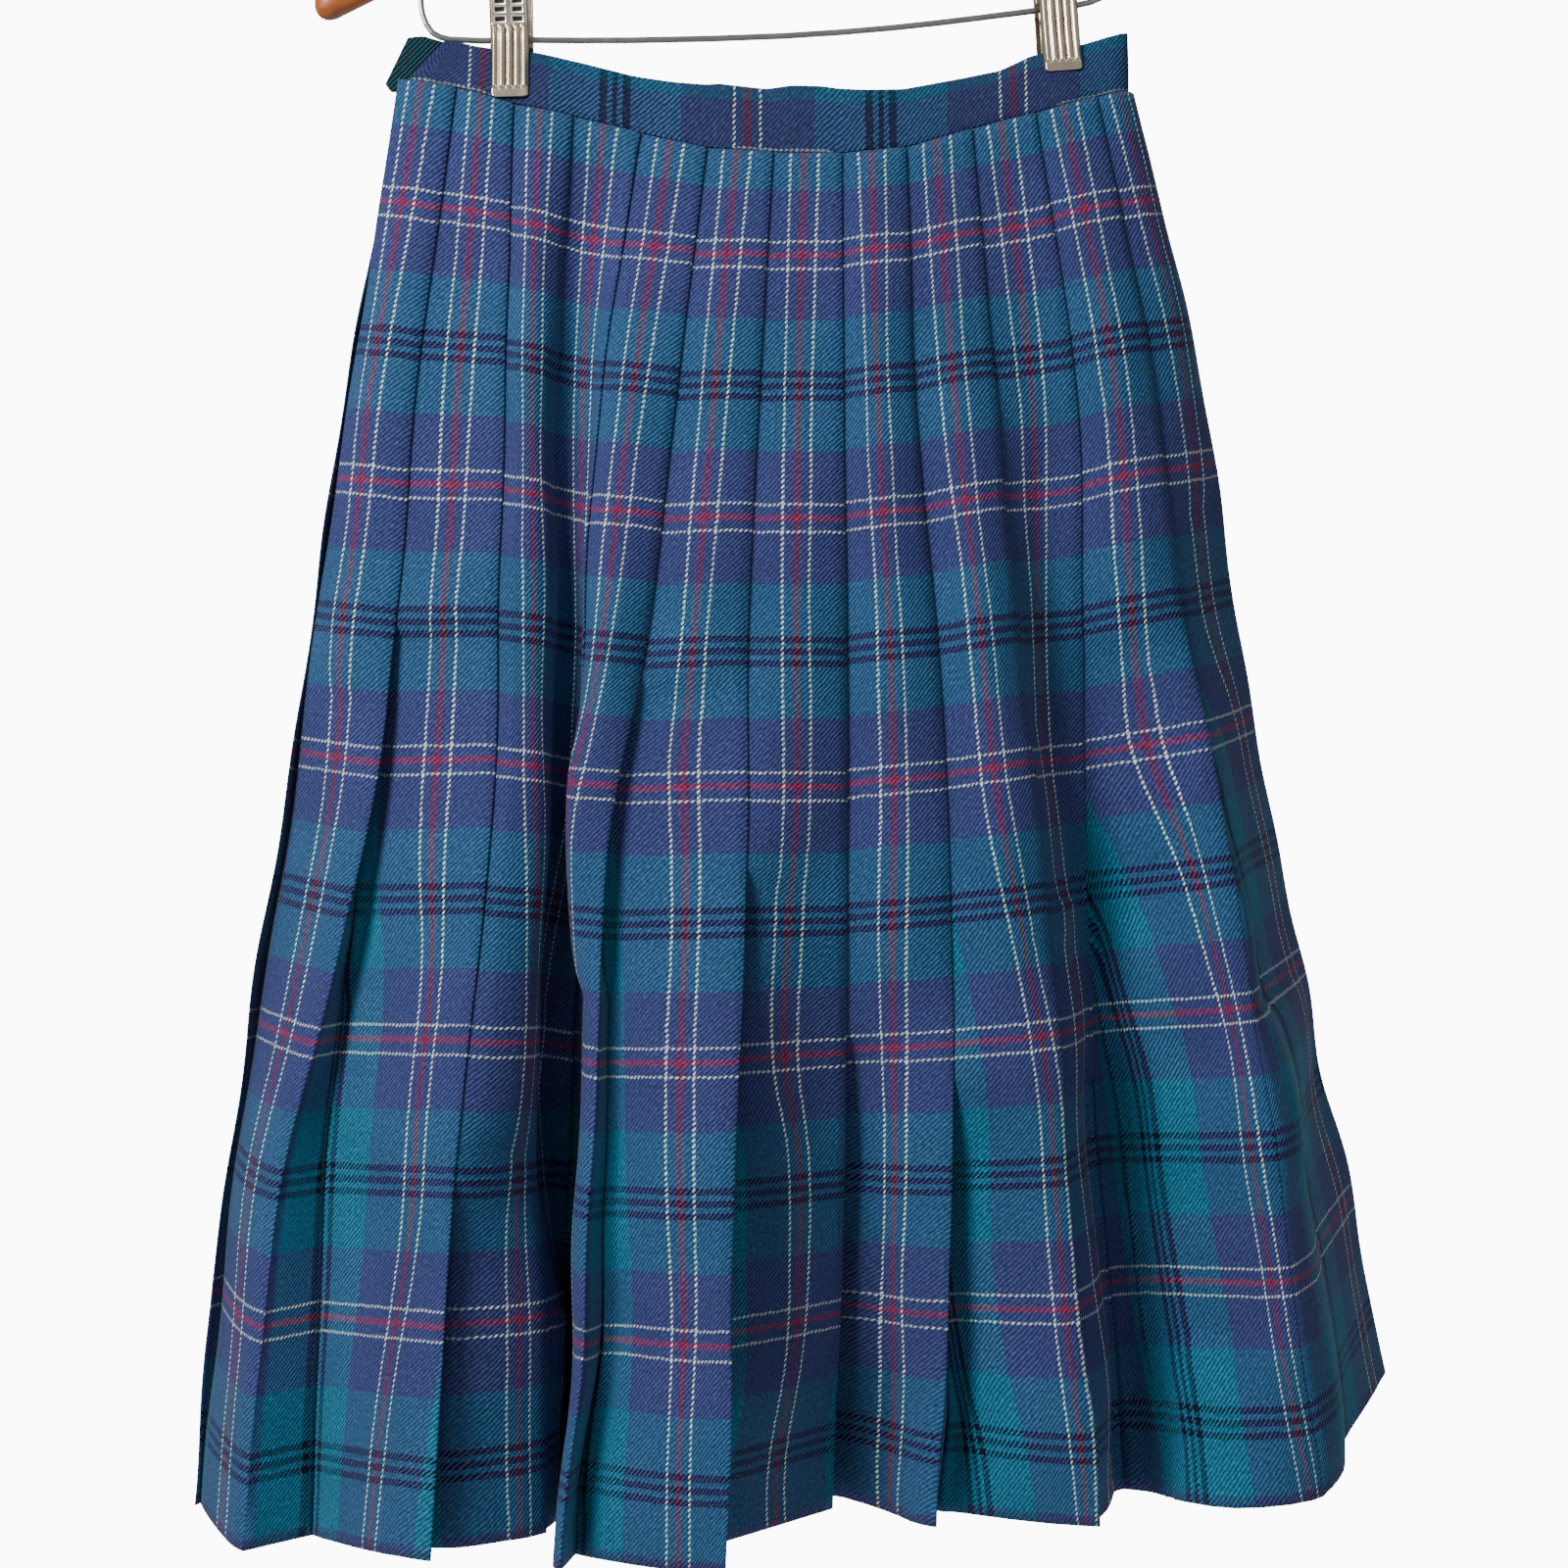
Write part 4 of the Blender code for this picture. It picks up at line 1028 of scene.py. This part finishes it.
def wood_material(settings):
    """Orange-brown varnished wood with its grain along the bar."""
    material, begin, shader = new_material("varnished_wood", Coat_Roughness=0.15, Coat_Weight=0.3)
    coords = begin.node("ShaderNodeTexCoord", {}, {}, output=3)
    turned = begin.node("ShaderNodeMapping", {}, {"Vector": coords, "Rotation": (0.0, TILT, 0.0)})
    grain = turned.stretched((5.0, 55.0, 75.0)).noise(1.0, Detail=6.0, Roughness=0.6, Distortion=0.8)
    pores = turned.stretched((30.0, 700.0, 700.0)).noise(1.0, Detail=2.0)
    stops = [(0.30, tuple(settings.wood_dark)), (0.52, tuple(settings.wood)),
             (0.72, tuple(settings.wood_light))]
    colour = (0.82 + pores * 0.36).scaled(grain.ramp(stops))
    feed(shader, Base_Color=colour, Roughness=0.28 + pores * 0.22, Normal=pores.bump(0.15, 0.0003))
    return material


def metal_material(name, colour, low, high, mark):
    """Plated metal with faint rubbing marks and uneven shine, with painted shade darkening the bottoms
    of a clip's flutes and its rolled sides.
    """
    material, begin, shader = new_material(name, Metallic=1.0)
    coords = begin.node("ShaderNodeTexCoord", {}, {}, output=3)
    smear = coords.noise(140.0, Detail=4.0)
    rubs = coords.stretched((900.0, 900.0, 60.0)).noise(1.0, Detail=2.0)
    # Painted shade from the plate's attribute, with random tone from the smear
    groove = begin.node("ShaderNodeAttribute", {"attribute_name": "groove"}, {}, output=2).clamped()
    tone_and_groove_shade = ((0.86 + smear * 0.28) * (1.0 - groove * 0.85)).scaled(tuple(colour))
    shine = low + smear * (high - low) + rubs * mark
    feed(shader, Base_Color=tone_and_groove_shade, Roughness=shine, Normal=rubs.bump(0.1, 0.0002))
    return material


# Settings

def length_setting(name, text, value, **limits):
    return FloatProperty(name=name, description=text, default=value, unit="LENGTH", **limits)


def share_setting(name, text, value, low=0.0, high=1.0):
    return FloatProperty(name=name, description=text, default=value, min=low, max=high, subtype="FACTOR")


def power_setting(name, text, value):
    return FloatProperty(name=name, description=text, default=value, unit="POWER")


def colour_setting(name, text, value):
    return FloatVectorProperty(name=name, description=text, default=value, subtype="COLOR")


class ClothSettings(bpy.types.PropertyGroup):
    """Sizes and colours of the skirt's cloth."""

    wall: length_setting("Cloth", "Thickness of the panels' cloth", 0.0006, min=0.0003, max=0.003)
    band_thickness: length_setting("Waistband", "Thickness of the folded waistband", 0.0022,
                                   min=0.001, max=0.004)
    rows: IntProperty(name="Rows", description="Rows of points from the seam to the hem",
                      default=110, min=20, max=160)
    steps: IntProperty(name="Steps", description="Points between two stations of a fold",
                       default=3, min=1, max=4)
    sett: length_setting("Sett", "Repeat of the tartan", SETT)
    threads: IntProperty(name="Threads", description="Threads in one repeat, each way", default=204)
    warp_share: share_setting("Warp share", "Share of the face that the warp covers", 0.40, 0.2, 0.8)
    first_red: length_setting("First red line", "Seam to the first red weft line", 0.0495)
    red_line: length_setting("Red line", "Width of the red lines", 0.0032)
    white_line: length_setting("White line", "Width of the white lines", 0.0012)
    white_reach: length_setting("White reach", "Red line's middle to a white line", 0.00585)
    navy_reach: length_setting("Navy reach", "Red line's middle to the teal ground", 0.0301)
    dark_line: length_setting("Dark line", "Width of the dark lines", 0.0031)
    dark_reach: length_setting("Dark reach", "Middle dark line to its neighbours", 0.0054)
    navy: colour_setting("Navy yarn", "Colour of the navy yarn", (0.039, 0.053, 0.178))
    teal: colour_setting("Teal yarn", "Colour of the teal yarn", (0.014, 0.146, 0.250))
    red: colour_setting("Red yarn", "Colour of the red yarn", (0.330, 0.022, 0.080))
    red_warp: colour_setting("Red warp", "Colour of the red yarn that runs down", (0.170, 0.020, 0.070))
    white: colour_setting("White yarn", "Colour of the white yarn", (0.700, 0.750, 0.710))
    dark: colour_setting("Dark yarn", "Colour of the dark yarn", (0.002, 0.004, 0.022))
    band_teal: colour_setting("Band warp", "Colour of the band's upright teal yarn",
                              (0.030, 0.125, 0.275))
    tab_green: colour_setting("Tab yarn", "Colour of the underlap's green yarn", (0.006, 0.060, 0.072))
    # Painted shade: the band's cloth is the panels' tartan made darker
    band_shade: share_setting("Band shade", "Brightness of the band's cloth, over the panels'",
                              0.62, 0.3, 1.2)
    sheen: share_setting("Sheen", "Soft light on the wool's nap", 0.12)


class HangerSettings(bpy.types.PropertyGroup):
    """Sizes and colours of the hanger."""

    clip_width: length_setting("Clip width", "Width of a clip's front plate", 0.0176)
    flutes: IntProperty(name="Flutes", description="Grooves pressed into a clip's plate",
                        default=4, min=1, max=9)
    flute_depth: length_setting("Flute depth", "Height of the pressed ridges", 0.0011)
    spring_wire: length_setting("Spring wire", "Diameter of the springs' wire", 0.0012)
    nickel: colour_setting("Nickel", "Colour of the clips' plating", (0.66, 0.56, 0.43))
    # Painted highlight: the windows' rims get a near-white colour in place of the light they mirror
    rim_highlight: colour_setting("Rims", "Colour of the worn rims of the windows", (0.95, 0.93, 0.88))
    slots: colour_setting("Slots", "Colour of the shaded slots in the windows", (0.035, 0.028, 0.024))
    steel: colour_setting("Steel", "Colour of the bar and the springs", (0.34, 0.34, 0.35))
    hook: colour_setting("Hook", "Colour of the hook", (0.62, 0.62, 0.62))
    wood: colour_setting("Wood", "Colour of the wood", (0.40, 0.105, 0.012))
    wood_dark: colour_setting("Dark grain", "Colour of the wood's dark grain", (0.24, 0.052, 0.006))
    wood_light: colour_setting("Light grain", "Colour of the wood's light grain", (0.52, 0.170, 0.024))


class StageSettings(bpy.types.PropertyGroup):
    """The studio: floor, light and camera."""

    floor_drop: length_setting("Floor", "Depth of the floor under the hook", 1.60)
    key: power_setting("Key light", "Power of the main light", 50.0)
    fill: power_setting("Fill light", "Power of the side light", 2.5)
    behind: power_setting("Back light", "Power of the light behind", 45.0)
    sky: FloatProperty(name="Soft light", description="Strength of the light all round", default=0.20)
    pale: FloatProperty(name="Surround", description="Brightness of the pale surround", default=11.0)
    mirrored: share_setting("Mirrored", "Share of the pale surround that metal mirrors", 0.018)
    distance: length_setting("Distance", "Camera to the hanger's plane", 1.05)
    frame_size: length_setting("Frame", "Width of the picture at the hanger's plane", 0.72)


# Operators

def declare(piece, node):
    """Hang a piece under the root body and hide the solid of the frame that it takes the place of."""
    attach(piece, "root")
    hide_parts(node)


class SKIRT_OT_panels(bpy.types.Operator):
    """Make the pleated front and back"""
    bl_idname = "skirt.panels"
    bl_label = "Pleated panels"

    def execute(self, context):
        cloth = context.scene.skirt_cloth
        tartan = woven("wool_tartan", cloth, cloth.first_red, 1.0, None)
        rows = cloth.rows
        for name, node, table, turned in (("front_cloth", "front_panel", FRONT, False),
                                          ("back_cloth", "back_panel", BACK, True)):
            piece = pleated_cloth(name, table, turned, rows, cloth.steps, cloth.wall, tartan)
            declare(piece, node)
        return {"FINISHED"}


class SKIRT_OT_waistband(bpy.types.Operator):
    """Make the waistband and the end of its underlap"""
    bl_idname = "skirt.waistband"
    bl_label = "Waistband"

    def execute(self, context):
        cloth = context.scene.skirt_cloth
        tartan = woven("band_tartan", cloth, 0.0, -1.0, BAND_LINES, cloth.band_shade)
        band = waistband_cloth(cloth, tartan)
        declare(band, "waistband")
        declare(underlap_cloth(tab_material(cloth)), "underlap_tab")
        return {"FINISHED"}


class SKIRT_OT_arm(bpy.types.Operator):
    """Make the wooden arm and finish the hook and the wire"""
    bl_idname = "skirt.arm"
    bl_label = "Wooden arm and wires"

    def execute(self, context):
        hanger = context.scene.skirt_hanger
        declare(wooden_bar(wood_material(hanger)), "wooden_arm")
        steel = metal_material("bar_steel", hanger.steel, 0.16, 0.40, 0.10)
        hook_steel = metal_material("hook_steel", hanger.hook, 0.12, 0.34, 0.10)
        for node, material in (("wire_bar", steel), ("hook", hook_steel)):
            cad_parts[node].data.materials.clear()
            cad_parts[node].data.materials.append(material)
        return {"FINISHED"}


class SKIRT_OT_clips(bpy.types.Operator):
    """Make the two sprung clips"""
    bl_idname = "skirt.clips"
    bl_label = "Clips"

    def execute(self, context):
        hanger = context.scene.skirt_hanger
        # The plates' nickel, then the rims' painted highlight and the slots' painted shadow
        nickel = (metal_material("clip_nickel", hanger.nickel, 0.10, 0.32, 0.08),
                  metal_material("rim_nickel", hanger.rim_highlight, 0.38, 0.50, 0.08),
                  metal_material("slot_shadow", hanger.slots, 0.50, 0.70, 0.08))
        steel = metal_material("spring_steel", hanger.steel, 0.16, 0.40, 0.10)
        for name, x, pivot, lean, front, back in CLIPS:
            place = Matrix.Translation((x, 0.0, pivot)) @ Matrix.Rotation(-math.radians(lean), 4, "Y")
            for jaw, measures in (("front", front), ("back", back)):
                piece = clip_plate("clip_%s_%s_plate" % (name, jaw), place, measures, jaw == "back",
                                   hanger, nickel)
                declare(piece, "clip_%s_%s_jaw" % (name, jaw))
            coil = spring_coil("clip_%s_coil" % name, place, hanger, steel)
            declare(coil, "clip_%s_spring" % name)
        return {"FINISHED"}


class SKIRT_OT_stage(bpy.types.Operator):
    """Set the floor, the lights and the camera"""
    bl_idname = "skirt.stage"
    bl_label = "Studio"

    def execute(self, context):
        stage = context.scene.skirt_stage
        material, begin, shader = new_material("pale_floor", Roughness=0.8)
        shader.inputs["Base Color"].default_value = (0.80, 0.80, 0.79, 1.0)
        bm = bmesh.new()
        bmesh.ops.create_grid(bm, x_segments=4, y_segments=4, size=1.85,
                              matrix=Matrix.Translation((0.0, 0.0, -stage.floor_drop)))
        finish_piece("floor", bm, material)
        world = bpy.data.worlds.new("pale surround")
        world.use_nodes = True
        tree = world.node_tree
        white = (1.0, 1.0, 1.0, 1.0)
        soft = tree.nodes["Background"]
        soft.inputs["Color"].default_value = white
        soft.inputs["Strength"].default_value = stage.sky
        begin = Signal(tree)
        pale = begin.node("ShaderNodeBackground", {}, {"Color": white, "Strength": stage.pale})
        seen = begin.node("ShaderNodeLightPath", {}, {})
        share = (seen + seen.also(3) * stage.mirrored).clamped()
        ways = {0: share, 1: Signal(tree, soft.outputs[0]), 2: pale}
        both = begin.node("ShaderNodeMixShader", {}, ways)
        tree.links.new(both.socket, tree.nodes["World Output"].inputs["Surface"])
        context.scene.world = world
        for (name, size, place), power in zip(LIGHTS, (stage.key, stage.fill, stage.behind)):
            data = bpy.data.lights.new(name, "AREA")
            data.energy = power
            data.shape = "DISK"
            data.size = size
            lamp = bpy.data.objects.new(name, data)
            lamp.location = place
            aim = Vector(LIT) - Vector(place)
            lamp.rotation_euler = aim.to_track_quat("-Z", "Y").to_euler()
            context.scene.collection.objects.link(lamp)
        data = bpy.data.cameras.new("camera")
        data.sensor_width = 36.0
        data.lens = 36.0 * stage.distance / stage.frame_size
        camera = bpy.data.objects.new("camera", data)
        camera.location = (SEEN[0], -stage.distance, SEEN[1])
        camera.rotation_euler = (math.pi / 2, 0.0, 0.0)
        context.scene.collection.objects.link(camera)
        context.scene.camera = camera
        return {"FINISHED"}


class SKIRT_PT_panel(bpy.types.Panel):
    """Lists the pieces of the skirt and its hanger"""
    bl_label = "Pleated skirt"
    bl_space_type = "VIEW_3D"
    bl_region_type = "UI"
    bl_category = "Skirt"

    def draw(self, context):
        for operator in OPERATORS:
            self.layout.operator(operator.bl_idname)
        for group in ("skirt_cloth", "skirt_hanger", "skirt_stage"):
            box = self.layout.box()
            settings = getattr(context.scene, group)
            for key in settings.__annotations__:
                box.prop(settings, key)


OPERATORS = (SKIRT_OT_stage, SKIRT_OT_clips, SKIRT_OT_waistband, SKIRT_OT_panels, SKIRT_OT_arm)
CLASSES = (ClothSettings, HangerSettings, StageSettings, *OPERATORS, SKIRT_PT_panel)


def register():
    for cls in CLASSES:
        bpy.utils.register_class(cls)
    bpy.types.Scene.skirt_cloth = PointerProperty(type=ClothSettings)
    bpy.types.Scene.skirt_hanger = PointerProperty(type=HangerSettings)
    bpy.types.Scene.skirt_stage = PointerProperty(type=StageSettings)


def unregister():
    del bpy.types.Scene.skirt_stage
    del bpy.types.Scene.skirt_hanger
    del bpy.types.Scene.skirt_cloth
    for cls in reversed(CLASSES):
        bpy.utils.unregister_class(cls)


def main():
    register()
    bpy.ops.skirt.stage()
    bpy.ops.skirt.clips()
    bpy.ops.skirt.waistband()
    bpy.ops.skirt.panels()
    bpy.ops.skirt.arm()


if __name__ == "__main__":
    main()
